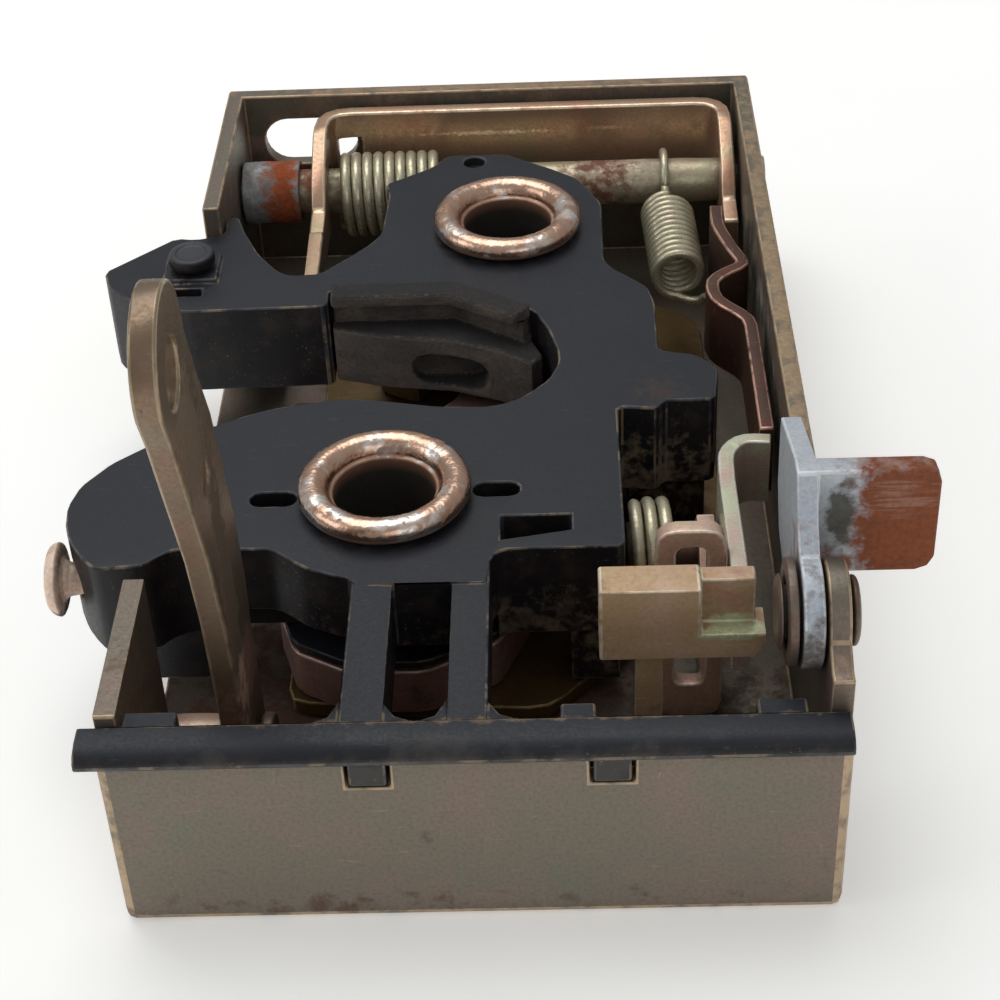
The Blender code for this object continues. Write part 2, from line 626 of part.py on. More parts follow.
def lever_outline():
    """Upright lever in (Y, Z): hub below, straight bar, round eye on top."""
    eye_y, eye_z, eye_r = 2.4, 55.1, 5.7
    eye = [
        (eye_y + eye_r * math.cos(a), eye_z + eye_r * math.sin(a))
        for a in np.linspace(math.radians(-8), math.radians(195), 18)
    ]
    front = [(-1.6, 50.6), (0.9, 44.0), (4.3, 35.4), (6.4, 26.7), (7.5, 18.0)]
    y, z, r = LEVER_PIVOT_Y, LEVER_PIVOT_Z, 5.0
    hub = [
        (y + r * math.cos(a), z + r * math.sin(a))
        for a in np.linspace(math.radians(175), math.radians(365), 12)
    ]
    rear = [(16.8, 17.5), (17.4, 23.0), (16.6, 29.7), (14.4, 38.0), (12.8, 44.0)]
    rear += [(9.6, 50.5)]
    return eye + front + hub + rear


def make_outside_lever():
    obj = prism("outside_lever", lever_outline(), 8.9, 10.9, TAN_ZINC, "X")
    cut_prism(obj, circle((2.2, 54.2), 2.6, 20), 5, 15, "X")
    cut_prism(obj, circle((7.9, 40.6), 1.6, 16), 5, 15, "X")
    pivot = (LEVER_PIVOT_Y, LEVER_PIVOT_Z)
    cut_prism(obj, circle(pivot, 1.9, 20), 5, 15, "X")
    pin = [(3.0, -1.4), (3.0, -0.3), (1.6, -0.3), (1.6, 11.2)]
    pin += [(3.0, 11.2), (3.0, 12.4)]
    lathe("outside_lever_pin", pin, pivot, GREY_ZINC, "X", 20, closed=False)
    bush = [(3.0, 2.1), (3.0, 8.6), (1.9, 8.6), (1.9, 2.1)]
    lathe("outside_lever_bush", bush, pivot, PINK_ZINC, "X", 20)


def make_studs():
    """Stud on the arm and rusty-headed stud in the moulding's round lobe."""
    seat = BODY_TOP + 0.5 + GAP
    stud = [(1.3, 13.6), (1.3, seat), (2.45, seat), (2.45, 22.4), (2.1, 22.8)]
    lathe("arm_stud", stud, (-0.3, 70.5), BLACK, "Z", 20, closed=False)
    head = [(2.4, -8.5), (3.4, -8.0), (3.4, -7.2), (1.4, -7.2), (1.4, -3.4)]
    lathe("lobe_stud", head, LOBE_STUD, RUST, "X", 20, closed=False)


def main():
    clear_scene()
    make_case()
    make_body()
    make_buffer()
    make_claw()
    make_claw_jacket()
    make_pawl()
    make_eyelet("claw_eyelet", CLAW_PIVOT)
    make_eyelet("pawl_eyelet", PAWL_PIVOT)
    make_hidden_springs()
    make_support_plate()
    make_axle()
    make_bail()
    make_bail_spring()
    make_link_spring()
    make_slide()
    make_side_lever()
    make_coil_set()
    make_outside_lever()
    make_studs()


if __name__ == "__main__":
    main()
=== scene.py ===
"""Used rotary-claw door latch with its case open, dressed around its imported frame.

Lengths are millimetres from the case's front left lower corner, X to the right,
Y to the back and Z up, until placed() turns them into metres in the part's frame.
"""

import logging
import math
from dataclasses import dataclass, field
from enum import Enum

import bmesh
import bpy
import numpy as np
from mathutils import Matrix, Vector


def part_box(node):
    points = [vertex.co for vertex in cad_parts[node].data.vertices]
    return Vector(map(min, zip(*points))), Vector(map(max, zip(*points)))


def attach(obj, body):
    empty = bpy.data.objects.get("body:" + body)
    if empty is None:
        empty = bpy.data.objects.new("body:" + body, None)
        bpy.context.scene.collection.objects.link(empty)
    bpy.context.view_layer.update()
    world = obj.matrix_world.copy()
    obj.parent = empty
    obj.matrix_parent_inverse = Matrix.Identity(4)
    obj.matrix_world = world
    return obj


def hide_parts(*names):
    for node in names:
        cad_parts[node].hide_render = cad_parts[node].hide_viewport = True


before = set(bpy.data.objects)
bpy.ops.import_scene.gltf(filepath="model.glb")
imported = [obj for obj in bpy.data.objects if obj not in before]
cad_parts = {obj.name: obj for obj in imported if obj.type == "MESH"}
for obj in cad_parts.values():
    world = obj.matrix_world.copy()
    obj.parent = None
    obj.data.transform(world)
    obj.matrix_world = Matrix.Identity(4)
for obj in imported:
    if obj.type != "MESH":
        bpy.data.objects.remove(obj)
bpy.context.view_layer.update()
LOG = logging.getLogger("door_latch")

MM = 0.001
SHARP = math.radians(38)
FLAT = math.radians(0.3)
SEAM = 0.01
ON_BOX = 0.05
NEAR_AXIS = 0.4
TURN_POINTS = 26
WIRE_SIDES = 12
CORNER = np.array([29.1, 50.85, 0.0])
CLAW_PIVOT = (21.7, 31.3)
PAWL_PIVOT = (32.4, 77.4)
AXLE_Y, AXLE_Z = 95.0, 15.5
SIDE_PIVOT = (10.0, 24.2)
LEVER_PIVOT = (12.5, 8.0)
LOCK_COIL = (30.0, 14.5)
LOBE_STUD = (26.6, 15.6)
ARM_STUD = (-0.3, 70.5)


class Axis(Enum):
    """Which way a turned piece or a coil points; the value orders its own axes."""

    X = (1, 2, 0)
    Y = (0, 2, 1)
    Z = (0, 1, 2)


# ------------------------------------------------------------------ shapes


def placed(points: np.ndarray) -> np.ndarray:
    """Moves corner-frame millimetres into the part's frame, in metres.

    Args:
        points: any array whose last axis is X, Y, Z in millimetres.

    Returns:
        The same array in metres: (point - corner) / 1000.
    """
    return (points - CORNER) * MM


def cut_corners(line: np.ndarray, passes: int, closed: bool) -> np.ndarray:
    """Rounds a line by cutting its corners.

    Each pass swaps every side for its points at a quarter and three quarters,
    which tends to a smooth curve; an open line keeps its two ends.

    Args:
        line: points as rows, of any width.
        passes: how many times the corners are cut.
        closed: True where the last point joins the first.

    Returns:
        The rounded line as rows.
    """
    for _ in range(passes):
        after = np.roll(line, -1, axis=0)
        pairs = np.stack([0.75 * line + 0.25 * after, 0.25 * line + 0.75 * after], 1)
        if closed:
            line = pairs.reshape(-1, line.shape[1])
        else:
            inner = pairs[:-1].reshape(-1, line.shape[1])[1:-1]
            line = np.concatenate([line[:1], inner, line[-1:]])
    return line


def ripple(points: np.ndarray, size: float, seed: float) -> np.ndarray:
    """Smooth uneven height over space, between about -1 and 1.

    The sum of five plane waves of unlike directions, each a sine of
    (direction . point) / size plus its own phase, with falling weights.

    Args:
        points: places in millimetres, last axis X, Y, Z.
        size: the broadest wave's length over two pi, in millimetres.
        seed: shifts the phases, so that two pieces differ.

    Returns:
        One height per point.
    """
    turns = np.array([[1.0, 0.6, 0.3], [-0.7, 1.3, 0.9], [1.6, -1.1, 1.7]])
    turns = np.concatenate([turns, [[-2.3, -1.9, 2.1], [3.4, 2.7, -3.1]]])
    phases = seed * np.array([1.0, 2.3, 3.1, 4.7, 5.9])
    weights = np.array([0.34, 0.26, 0.18, 0.12, 0.10])
    return np.sin(points @ turns.T / size + phases) @ weights


def grid_piece(name: str, grid: np.ndarray, ring: bool) -> bpy.types.Object:
    """Makes a mesh piece from a grid of points, in place, and smooths it.

    Row i, column j joins row i+1, column j+1 by one four-sided face. Columns
    always close on themselves; rows do where ring is True. Points that fall
    together, such as a pole's, are merged, and the faces are turned outwards.

    Args:
        name: the piece's name.
        grid: points of shape (rows, columns, 3), in corner-frame millimetres.
        ring: True where the last row joins the first.

    Returns:
        The new object, at the origin.
    """
    rows, columns = grid.shape[:2]
    i, j = np.meshgrid(
        np.arange(rows if ring else rows - 1), np.arange(columns), indexing="ij"
    )
    i2, j2 = (i + 1) % rows, (j + 1) % columns
    corners = [i * columns + j, i * columns + j2, i2 * columns + j2, i2 * columns + j]
    faces = np.stack(corners, axis=-1).reshape(-1, 4)
    mesh = bpy.data.meshes.new(name)
    mesh.from_pydata(placed(grid).reshape(-1, 3).tolist(), [], faces.tolist())
    shape = bmesh.new()
    shape.from_mesh(mesh)
    bmesh.ops.remove_doubles(shape, verts=shape.verts, dist=1e-6)
    bmesh.ops.recalc_face_normals(shape, faces=shape.faces)
    bmesh.ops.triangulate(shape, faces=shape.faces[:])
    shape.to_mesh(mesh)
    shape.free()
    mesh.polygons.foreach_set("use_smooth", np.ones(len(mesh.polygons), bool))
    mesh.set_sharp_from_angle(angle=SHARP)
    made = bpy.data.objects.new(name, mesh)
    bpy.context.scene.collection.objects.link(made)
    return made


def turned_piece(
    name: str,
    profile: list[tuple[float, float]],
    centre: tuple[float, float],
    axis: Axis,
    ring: bool = False,
    sides: int = 72,
    lumps: float = 0.0,
    lump_size: float = 1.0,
) -> bpy.types.Object:
    """Turns a profile about an axis, as on a lathe.

    Point (k, a) of the grid is centre + radius_k * (cos a, sin a) across the
    axis and along_k on it; the radius grows by lumps * ripple where the skin is
    corroded or hammered. An open profile ends in a pole at both ends.

    Args:
        name: the piece's name.
        profile: (radius, place along the axis) pairs, in millimetres.
        centre: the axis's place across itself, in that axis's own order.
        axis: the turning axis.
        ring: True for a closed profile, such as a washer's section.
        sides: number of faces round the axis.
        lumps: height of the uneven skin, in millimetres.
        lump_size: size of that unevenness, in millimetres.

    Returns:
        The new piece.
    """
    line = np.array(profile, float)
    if ring:
        line = cut_corners(line, 3, closed=True)
    else:
        poles = line[[0, -1]] * [0.0, 1.0]
        line = cut_corners(line, 2, closed=False)
        line = np.concatenate([poles[:1], line, poles[1:]])
    if lumps:
        share = np.linspace(0, len(line) - 1, max(len(line), 120))
        index = np.arange(len(line))
        line = np.stack([np.interp(share, index, line[:, k]) for k in (0, 1)], 1)
    angle = np.linspace(0, 2 * np.pi, sides, endpoint=False)
    radius, along = line[:, :1], line[:, 1:]
    grid = np.empty((len(line), sides, 3))
    first, second, third = axis.value
    for _ in range(2 if lumps else 1):
        grid[..., first] = centre[0] + radius * np.cos(angle)
        grid[..., second] = centre[1] + radius * np.sin(angle)
        grid[..., third] = along
        skin = lumps * ripple(grid, lump_size, line[0, 1])
        radius = line[:, :1] + skin * (line[:, :1] > NEAR_AXIS)
    return grid_piece(name, grid, ring)


def coil_line(
    centre: tuple[float, float],
    radius: float,
    start: float,
    end: float,
    turns: float,
    first: float,
    axis: Axis,
) -> np.ndarray:
    """A helix, with the way out from its axis beside each point.

    Point t is centre + radius * (cos a, sin a) with a = first + 2 pi turns t,
    while its place along the axis runs evenly from start to end.

    Args:
        centre: the coil axis's place across itself.
        radius: to the middle of the wire.
        start: where the coil starts along its axis.
        end: where it ends.
        turns: number of turns, negative to wind the other way.
        first: the first point's angle in degrees.
        axis: the coil's axis.

    Returns:
        Rows of six: X, Y, Z and the unit vector out from the axis.
    """
    share = np.linspace(0, 1, int(abs(turns) * TURN_POINTS) + 2)
    angle = math.radians(first) + 2 * np.pi * turns * share
    rows = np.zeros((len(share), 6))
    one, two, three = axis.value
    rows[:, one] = centre[0] + radius * np.cos(angle)
    rows[:, two] = centre[1] + radius * np.sin(angle)
    rows[:, three] = start + (end - start) * share
    rows[:, 3 + one] = np.cos(angle)
    rows[:, 3 + two] = np.sin(angle)
    return rows


def leg_line(points: list[tuple[float, float, float]], out: tuple) -> np.ndarray:
    """Rows of six for a spring's leg: its points, each with the same way out."""
    return np.array([[*p, *out] for p in points], float)


def wire_piece(name: str, line: np.ndarray, radius: float) -> bpy.types.Object:
    """Draws round wire along a line.

    The grid's row k is a circle of the wire's radius round point k, in the plane
    of u = out - (out . along) along and v = along x u, with along the line's own
    direction there. The last row at each end shrinks to its middle, a pole.

    Args:
        name: the piece's name.
        line: rows of six, from coil_line and leg_line.
        radius: the wire's radius in millimetres.

    Returns:
        The new piece.
    """
    line = cut_corners(line, 1, closed=False)
    spot, out = line[:, :3], line[:, 3:]
    along = np.gradient(spot, axis=0)
    along /= np.linalg.norm(along, axis=1, keepdims=True)
    across = out - np.sum(out * along, axis=1, keepdims=True) * along
    across /= np.linalg.norm(across, axis=1, keepdims=True)
    other = np.cross(along, across)
    angle = np.linspace(0, 2 * np.pi, WIRE_SIDES, endpoint=False)[None, :, None]
    size = np.full((len(line), 1, 1), radius)
    size[[0, -1]] = radius * 0.7
    circle = across[:, None] * np.cos(angle) + other[:, None] * np.sin(angle)
    grid = spot[:, None] + size * circle
    caps = np.repeat(spot[[0, -1], None], WIRE_SIDES, axis=1)
    return grid_piece(name, np.concatenate([caps[:1], grid, caps[1:]]), ring=False)


def is_sliver(side: bmesh.types.BMEdge, width: float) -> bool:
    """Tells whether a face beside this edge is too narrow to take its round.

    A face's own width is its area over its longest side.

    Args:
        side: the edge.
        width: the round's width in millimetres.

    Returns:
        True where either face is narrower than half the round.
    """
    for face in side.link_faces:
        longest = max(border.calc_length() for border in face.edges)
        if face.calc_area() < 0.5 * width * MM * longest:
            return True
    return False


def pressed_piece(name: str, node: str, edge: float, corner: float = 0.0):
    """A sheet or moulded piece: the CAD solid with its edges broken.

    Seams in the copy are merged and flat neighbours dissolved into whole faces.
    Each edge sharper than SHARP then gets a small round, of width edge, or of
    width corner where it lies on two sides of the piece's box, as a fold does.
    The faces go back to triangles first, which keeps the rounding local.

    Args:
        name: the new piece's name.
        node: the CAD node that it stands for.
        edge: width of the round on an ordinary edge, in millimetres.
        corner: width at the box's own edges, or 0 for the same as edge.

    Returns:
        The new object, at the origin, with its edge faces in material slot 1.
    """
    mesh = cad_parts[node].data.copy()
    mesh.name = name
    mesh.materials.clear()
    shape = bmesh.new()
    shape.from_mesh(mesh)
    bmesh.ops.remove_doubles(shape, verts=shape.verts, dist=SEAM * MM)
    bmesh.ops.dissolve_degenerate(shape, edges=shape.edges, dist=SEAM * MM)
    bmesh.ops.dissolve_limit(
        shape, angle_limit=FLAT, verts=shape.verts, edges=shape.edges
    )
    for layer in list(shape.loops.layers.uv):
        shape.loops.layers.uv.remove(layer)
    widest = max(edge, corner)
    low, high = (np.array(v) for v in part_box(node))
    weight = shape.edges.layers.float.new("bevel_weight_edge")
    for side in shape.edges:
        if side.calc_face_angle(0.0) < SHARP or is_sliver(side, edge):
            continue
        ends = np.array([v.co for v in side.verts])
        on_low = (np.abs(ends - low) < ON_BOX * MM).all(axis=0)
        on_high = (np.abs(ends - high) < ON_BOX * MM).all(axis=0)
        is_corner = corner and (on_low | on_high).sum() >= 2
        side[weight] = (corner if is_corner else edge) / widest
    bmesh.ops.triangulate(shape, faces=shape.faces[:])
    shape.to_mesh(mesh)
    shape.free()
    mesh.polygons.foreach_set("use_smooth", np.ones(len(mesh.polygons), bool))
    made = bpy.data.objects.new(name, mesh)
    bpy.context.scene.collection.objects.link(made)
    bevel = made.modifiers.new("broken_edges", "BEVEL")
    bevel.limit_method = "WEIGHT"
    bevel.width = widest * MM
    bevel.segments = 2
    bevel.use_clamp_overlap = False
    bevel.material = 1
    normals = made.modifiers.new("flat_faces", "WEIGHTED_NORMAL")
    normals.keep_sharp = True
    normals.weight = 80
    return made


# --------------------------------------------------------------- materials


def linear(colour: str) -> tuple[float, float, float, float]:
    """Turns an sRGB hex colour into linear RGB with full alpha."""
    value = np.array([int(colour[i : i + 2], 16) for i in (1, 3, 5)]) / 255
    value = np.where(value <= 0.04045, value / 12.92, ((value + 0.055) / 1.055) ** 2.4)
    return (*value.tolist(), 1.0)


def add_node(
    tree: bpy.types.NodeTree, kind: str, inputs: dict, out: int | str = 0, **settings
):
    """Adds one node with its settings and links.

    Args:
        tree: the material's node tree.
        kind: the node's type, without its ShaderNode prefix.
        inputs: sockets by name or place, each with a value or a socket to link.
        out: which output to hand back.
        **settings: the node's own properties.

    Returns:
        The chosen output socket, or the node itself if it has none.
    """
    node = tree.nodes.new("ShaderNode" + kind)
    for name, value in settings.items():
        setattr(node, name, value)
    for key, value in inputs.items():
        value = value.socket if isinstance(value, Mask) else value
        if isinstance(value, bpy.types.NodeSocket):
            tree.links.new(value, node.inputs[key])
        else:
            node.inputs[key].default_value = value
    return node.outputs[out] if len(node.outputs) else node


@dataclass(frozen=True)
class Mask:
    """A number that varies over a piece; every sum of masks stays between 0 and 1."""

    tree: bpy.types.NodeTree
    socket: bpy.types.NodeSocket

    def joined(self, first, second, how: str) -> "Mask":
        """Works out one sum of two masks or numbers, clamped to 0 and 1."""
        inputs = {0: first, 1: second}
        socket = add_node(self.tree, "Math", inputs, operation=how, use_clamp=True)
        return Mask(self.tree, socket)

    def __mul__(self, other) -> "Mask":
        """Keeps only where both are set."""
        return self.joined(self, other, "MULTIPLY")

    def __or__(self, other) -> "Mask":
        """Keeps the stronger of the two at each place."""
        return self.joined(self, other, "MAXIMUM")

    def __add__(self, other) -> "Mask":
        """Adds the two."""
        return self.joined(self, other, "ADD")

    def __sub__(self, other) -> "Mask":
        """Takes the other away."""
        return self.joined(self, other, "SUBTRACT")

    def __rsub__(self, other: float) -> "Mask":
        """Takes this mask away from a number: 1 - mask is its opposite."""
        return self.joined(other, self, "SUBTRACT")


class Sheet:
    """A material being built: its tree, its place in millimetres, and its masks."""

    def __init__(self, name: str) -> None:
        """Starts an empty material whose place runs in corner-frame millimetres."""
        self.material = bpy.data.materials.new(name)
        self.material.use_nodes = True
        self.tree = self.material.node_tree
        self.tree.nodes.clear()
        coords = self.tree.nodes.new("ShaderNodeTexCoord")
        self.facing = coords.outputs["Normal"]
        inputs = {"Vector": coords.outputs["Object"], "Scale": (1 / MM,) * 3}
        inputs["Location"] = tuple(CORNER)
        self.place = add_node(self.tree, "Mapping", inputs)

    def patches(
        self,
        size: float,
        low: float,
        high: float,
        stretch: tuple[float, float, float] = (1.0, 1.0, 1.0),
        shift: float = 0.0,
        detail: float = 5.0,
    ) -> Mask:
        """A mask of soft uneven patches: cloudy noise between two levels.

        Args:
            size: the patches' size in millimetres.
            low: noise level where the mask starts.
            high: noise level where it is full.
            stretch: longer than 1 along an axis draws the patches out along it.
            shift: moves the pattern, so that two masks differ.
            detail: how many finer layers the noise has.

        Returns:
            The mask, from 0 to 1.
        """
        scale = tuple(1.0 / (size * s) for s in stretch)
        inputs = {"Vector": self.place, "Scale": scale, "Location": (shift,) * 3}
        spot = add_node(self.tree, "Mapping", inputs)
        inputs = {"Vector": spot, "Scale": 1.0, "Detail": detail, "Roughness": 0.62}
        cloud = add_node(self.tree, "TexNoise", inputs)
        inputs = {"Value": cloud, "From Min": low, "From Max": high}
        soft = {"interpolation_type": "SMOOTHSTEP"}
        return Mask(self.tree, add_node(self.tree, "MapRange", inputs, **soft))

    def coat(self, under, colour, mask, strength: float = 1.0):
        """Lays one colour over another where a mask is set.

        Args:
            under: what is there already, a hex colour or a socket.
            colour: what is laid on, a hex colour or a socket.
            mask: where it goes.
            strength: how much of it stays at most.

        Returns:
            The new colour's socket.
        """
        colour = linear(colour) if isinstance(colour, str) else colour
        under = linear(under) if isinstance(under, str) else under
        mask = mask if strength == 1.0 else mask * strength
        inputs = {0: mask, 6: under, 7: colour}
        return add_node(self.tree, "Mix", inputs, out=2, data_type="RGBA")

    def between(self, way, low: float, high: float) -> Mask:
        """A mask from how high something is.

        Args:
            way: a vector socket, such as the place or the way a face looks.
            low: its Z where the mask is 0.
            high: its Z where the mask is 1, below low for a mask of depth.

        Returns:
            The mask.
        """
        height = add_node(self.tree, "SeparateXYZ", {0: way}, out=2)
        inputs = {"Value": height, "From Min": low, "From Max": high}
        return Mask(self.tree, add_node(self.tree, "MapRange", inputs))

    def crevice(self, reach: float) -> Mask:
        """A mask of corners and gaps, from ambient occlusion; a finish that darkens with it
        paints shade there.

        Args:
            reach: how near another surface has to be, in millimetres.

        Returns:
            The mask, 1 deep in a gap and 0 in the open.
        """
        inputs = {"Distance": reach * MM}
        open_sky = add_node(self.tree, "AmbientOcclusion", inputs, "AO", samples=6)
        inputs = {"Value": open_sky, "From Min": 0.95, "From Max": 0.35}
        return Mask(self.tree, add_node(self.tree, "MapRange", inputs))

    def spot(self, mark: "Mark") -> Mask:
        """One local mark's mask: an ellipsoid whose edge noise has torn.

        The mask falls from 1 to 0 as |(place - centre) / reach| plus noise rises
        from 0.82 to just over 1.

        Args:
            mark: the mark.

        Returns:
            The mask, scaled by the mark's strength.
        """
        inputs = {0: self.place, 1: mark.centre}
        away = add_node(self.tree, "VectorMath", inputs, operation="SUBTRACT")
        inputs = {0: away, 1: mark.reach}
        away = add_node(self.tree, "VectorMath", inputs, operation="DIVIDE")
        far = add_node(self.tree, "VectorMath", {0: away}, "Value", operation="LENGTH")
        torn = self.patches(mark.grain, 0.3, 0.7, mark.stretch, mark.centre[0])
        inputs = {0: torn, 1: mark.ragged, 2: far}
        far = add_node(self.tree, "Math", inputs, operation="MULTIPLY_ADD")
        edges = {"From Min": 1.0 + mark.ragged * 0.4, "From Max": 0.82}
        inputs = {"Value": far, **edges, "To Max": mark.strength}
        return Mask(self.tree, add_node(self.tree, "MapRange", inputs))

    def finish(self, colour, metallic, roughness, height, bump_mm: float, **fixed):
        """Ends the material in one Principled shader with a bump.

        Args:
            colour: socket of the base colour.
            metallic: socket or number.
            roughness: socket or number.
            height: socket of the relief, from 0 to 1.
            bump_mm: how deep the relief is.
            **fixed: constants for the shader's own sockets, spaces as underscores.

        Returns:
            The finished material.
        """
        inputs = {"Height": height, "Distance": bump_mm * MM, "Strength": 1.0}
        bump = add_node(self.tree, "Bump", inputs)
        inputs = {"Base Color": colour, "Metallic": metallic, "Roughness": roughness}
        inputs["Normal"] = bump
        inputs.update({key.replace("_", " "): value for key, value in fixed.items()})
        shader = add_node(self.tree, "BsdfPrincipled", inputs)
        add_node(self.tree, "OutputMaterial", {"Surface": shader})
        return self.material


@dataclass(frozen=True)
class Mark:
    """One stain, rust bloom or worn patch at a place on the piece."""

    centre: tuple[float, float, float]
    reach: tuple[float, float, float]
    colour: str
    strength: float = 0.9
    ragged: float = 0.9
    grain: float = 2.0
    dull: float = 0.75
    metal: float = 0.0
    stretch: tuple[float, float, float] = (1.0, 1.0, 1.0)


@dataclass(frozen=True)
class ZincPlate:
    """Pressed steel, zinc plated and yellow-chromate dipped, after years of use.

    The chromate film gives drifting pink and green interference colours over a
    dull olive ground; grease and dust lie in smeared patches and specks, corners
    and gaps get painted shade in the same dark colour, and rust comes through
    where the zinc is spent.
    """

    name: str
    film: str
    blush: str
    sheen: str
    bare: str
    # dark colour for grease specks and smears, and for the painted shade in corners and gaps
    grime_and_shade: str = "#3d332a"
    rust: str = "#7d4526"
    rust_share: float = 0.12
    grime_share: float = 0.35
    metallic: float = 0.75
    roughness: float = 0.42
    drift: float = 7.0
    marks: tuple[Mark, ...] = ()

    def material(self, worn: bool = False) -> bpy.types.Material:
        """Builds the finish.

        Args:
            worn: True for the broken edges, where the film is rubbed to bare zinc.

        Returns:
            The material.
        """
        sheet = Sheet(self.name + ("_edge" if worn else ""))
        drift = self.drift
        blush = sheet.patches(drift, 0.42, 0.66, shift=3.0)
        sheen = sheet.patches(drift * 0.7, 0.5, 0.72, shift=21.0)
        colour = sheet.coat(self.film, self.blush, blush)
        colour = sheet.coat(colour, self.sheen, sheen, 0.75)
        speck = sheet.patches(0.35, 0.35, 0.75, shift=9.0, detail=3.0)
        colour = sheet.coat(colour, self.grime_and_shade, speck, 0.22)
        lines = sheet.patches(0.3, 0.66, 0.74, (14.0, 1.0, 1.6), 5.0, 2.0)
        crossed = sheet.patches(0.3, 0.67, 0.75, (1.3, 12.0, 10.0), 15.0, 2.0)
        lines = (lines | crossed) * 0.22
        colour = sheet.coat(colour, self.bare, lines)
        if worn:
            rubbed = sheet.patches(2.2, 0.3, 0.55, shift=31.0)
            colour = sheet.coat(colour, self.bare, rubbed, 0.85)
        # painted shade: corners and gaps found by ambient occlusion darken towards the dark
        # colour, together with real smeared grease patches
        crevice = sheet.crevice(2.4)
        smear = sheet.patches(3.6, 0.72 - self.grime_share * 0.5, 0.86, shift=41.0)
        torn = sheet.patches(1.1, 0.25, 0.7, shift=47.0)
        grime_and_shade = crevice * torn | smear
        grime_and_shade = grime_and_shade * (0.35 if worn else 0.8)
        colour = sheet.coat(colour, self.grime_and_shade, grime_and_shade)
        bloom = sheet.patches(2.6, 0.74 - self.rust_share * 0.5, 0.8, shift=61.0)
        grain = sheet.patches(0.5, 0.3, 0.7, shift=67.0)
        red = sheet.coat(self.rust, "#3e2417", grain, 0.6)
        colour = sheet.coat(colour, red, bloom)
        dull = grime_and_shade | bloom
        rough = speck * 0.16 + (self.roughness - 0.05)
        rough = dull * 0.35 + rough
        lost = grime_and_shade * 0.5 | bloom
        for mark in self.marks:
            mask = sheet.spot(mark)
            tone = sheet.coat(mark.colour, "#2f1c12", grain, 0.3)
            colour = sheet.coat(colour, tone, mask)
            step = mask * (abs(mark.dull) * 0.5)
            rough = rough + step if mark.dull > 0 else rough - step
            if mark.metal < 0.5:
                lost = lost | mask
        shine = (1.0 - lost) * self.metallic
        relief = grain * lost + speck * 0.22
        return sheet.finish(colour, shine, rough, relief, 0.03)


@dataclass(frozen=True)
class MouldedNylon:
    """Black glass-filled nylon, injection moulded.

    Upward faces carry a painted blue-grey sheen of the overhead light over the
    black; upright faces stay darker and hold brown grease with pale specks, and rubbed edges go
    grey.
    """

    name: str
    # colour of upward faces: the black with a painted blue-grey sheen
    skin: str = "#1c1f26"
    wall: str = "#19181c"
    grease: str = "#4a3e33"
    dust: str = "#83745f"
    rubbed: str = "#55565a"
    grease_share: float = 0.4
    roughness: float = 0.42
    marks: tuple[Mark, ...] = ()

    def material(self, worn: bool = False) -> bpy.types.Material:
        """Builds the finish.

        Args:
            worn: True for the broken edges, which are rubbed paler.

        Returns:
            The material.
        """
        sheet = Sheet(self.name + ("_edge" if worn else ""))
        # painted sheen: upward faces take the bluer, lighter colour and its lighter patches,
        # upright faces the darker plain colour
        top = sheet.between(sheet.facing, 0.45, 0.85)
        broad = sheet.patches(9.0, 0.3, 0.7, shift=2.0)
        face = sheet.coat(self.skin, "#232730", broad, 0.6)
        colour = sheet.coat(self.wall, face, top)
        side = 1.0 - top
        wet = sheet.patches(3.2, 0.62 - self.grease_share * 0.4, 0.7, shift=12.0)
        wet = wet * (side * 0.3 + 0.04)
        corner = sheet.crevice(1.6) * sheet.patches(1.4, 0.4, 0.7, shift=19.0)
        wet = wet | corner * 0.45
        colour = sheet.coat(colour, self.grease, wet)
        speck = sheet.patches(0.32, 0.66, 0.72, shift=23.0, detail=2.0)
        near = sheet.patches(4.0, 0.4, 0.65, shift=29.0)
        many = side * 0.7 + 0.1
        speck = speck * near * many
        colour = sheet.coat(colour, self.dust, speck)
        scuff = sheet.patches(0.28, 0.68, 0.76, (9.0, 1.4, 3.0), 33.0, 2.0)
        colour = sheet.coat(colour, self.rubbed, scuff, 0.3)
        if worn:
            rub = sheet.patches(2.6, 0.35, 0.62, shift=39.0)
            colour = sheet.coat(colour, self.rubbed, rub, 0.65)
            caked = sheet.patches(3.4, 0.5, 0.6, shift=51.0)
            colour = sheet.coat(colour, self.dust, caked, 0.75)
        grain = sheet.patches(0.25, 0.3, 0.7, shift=43.0, detail=2.0)
        rough = grain * 0.12 + (self.roughness - 0.06)
        rough = broad * 0.08 + rough
        rough = wet * 0.2 + rough
        for mark in self.marks:
            mask = sheet.spot(mark)
            colour = sheet.coat(colour, mark.colour, mask)
            rough = rough + mask * (mark.dull * 0.4)
        relief = grain * 0.5 + speck * 0.6
        relief = relief + wet * 0.3
        return sheet.finish(colour, 0.0, rough, relief, 0.008, Specular_IOR_Level=0.34)


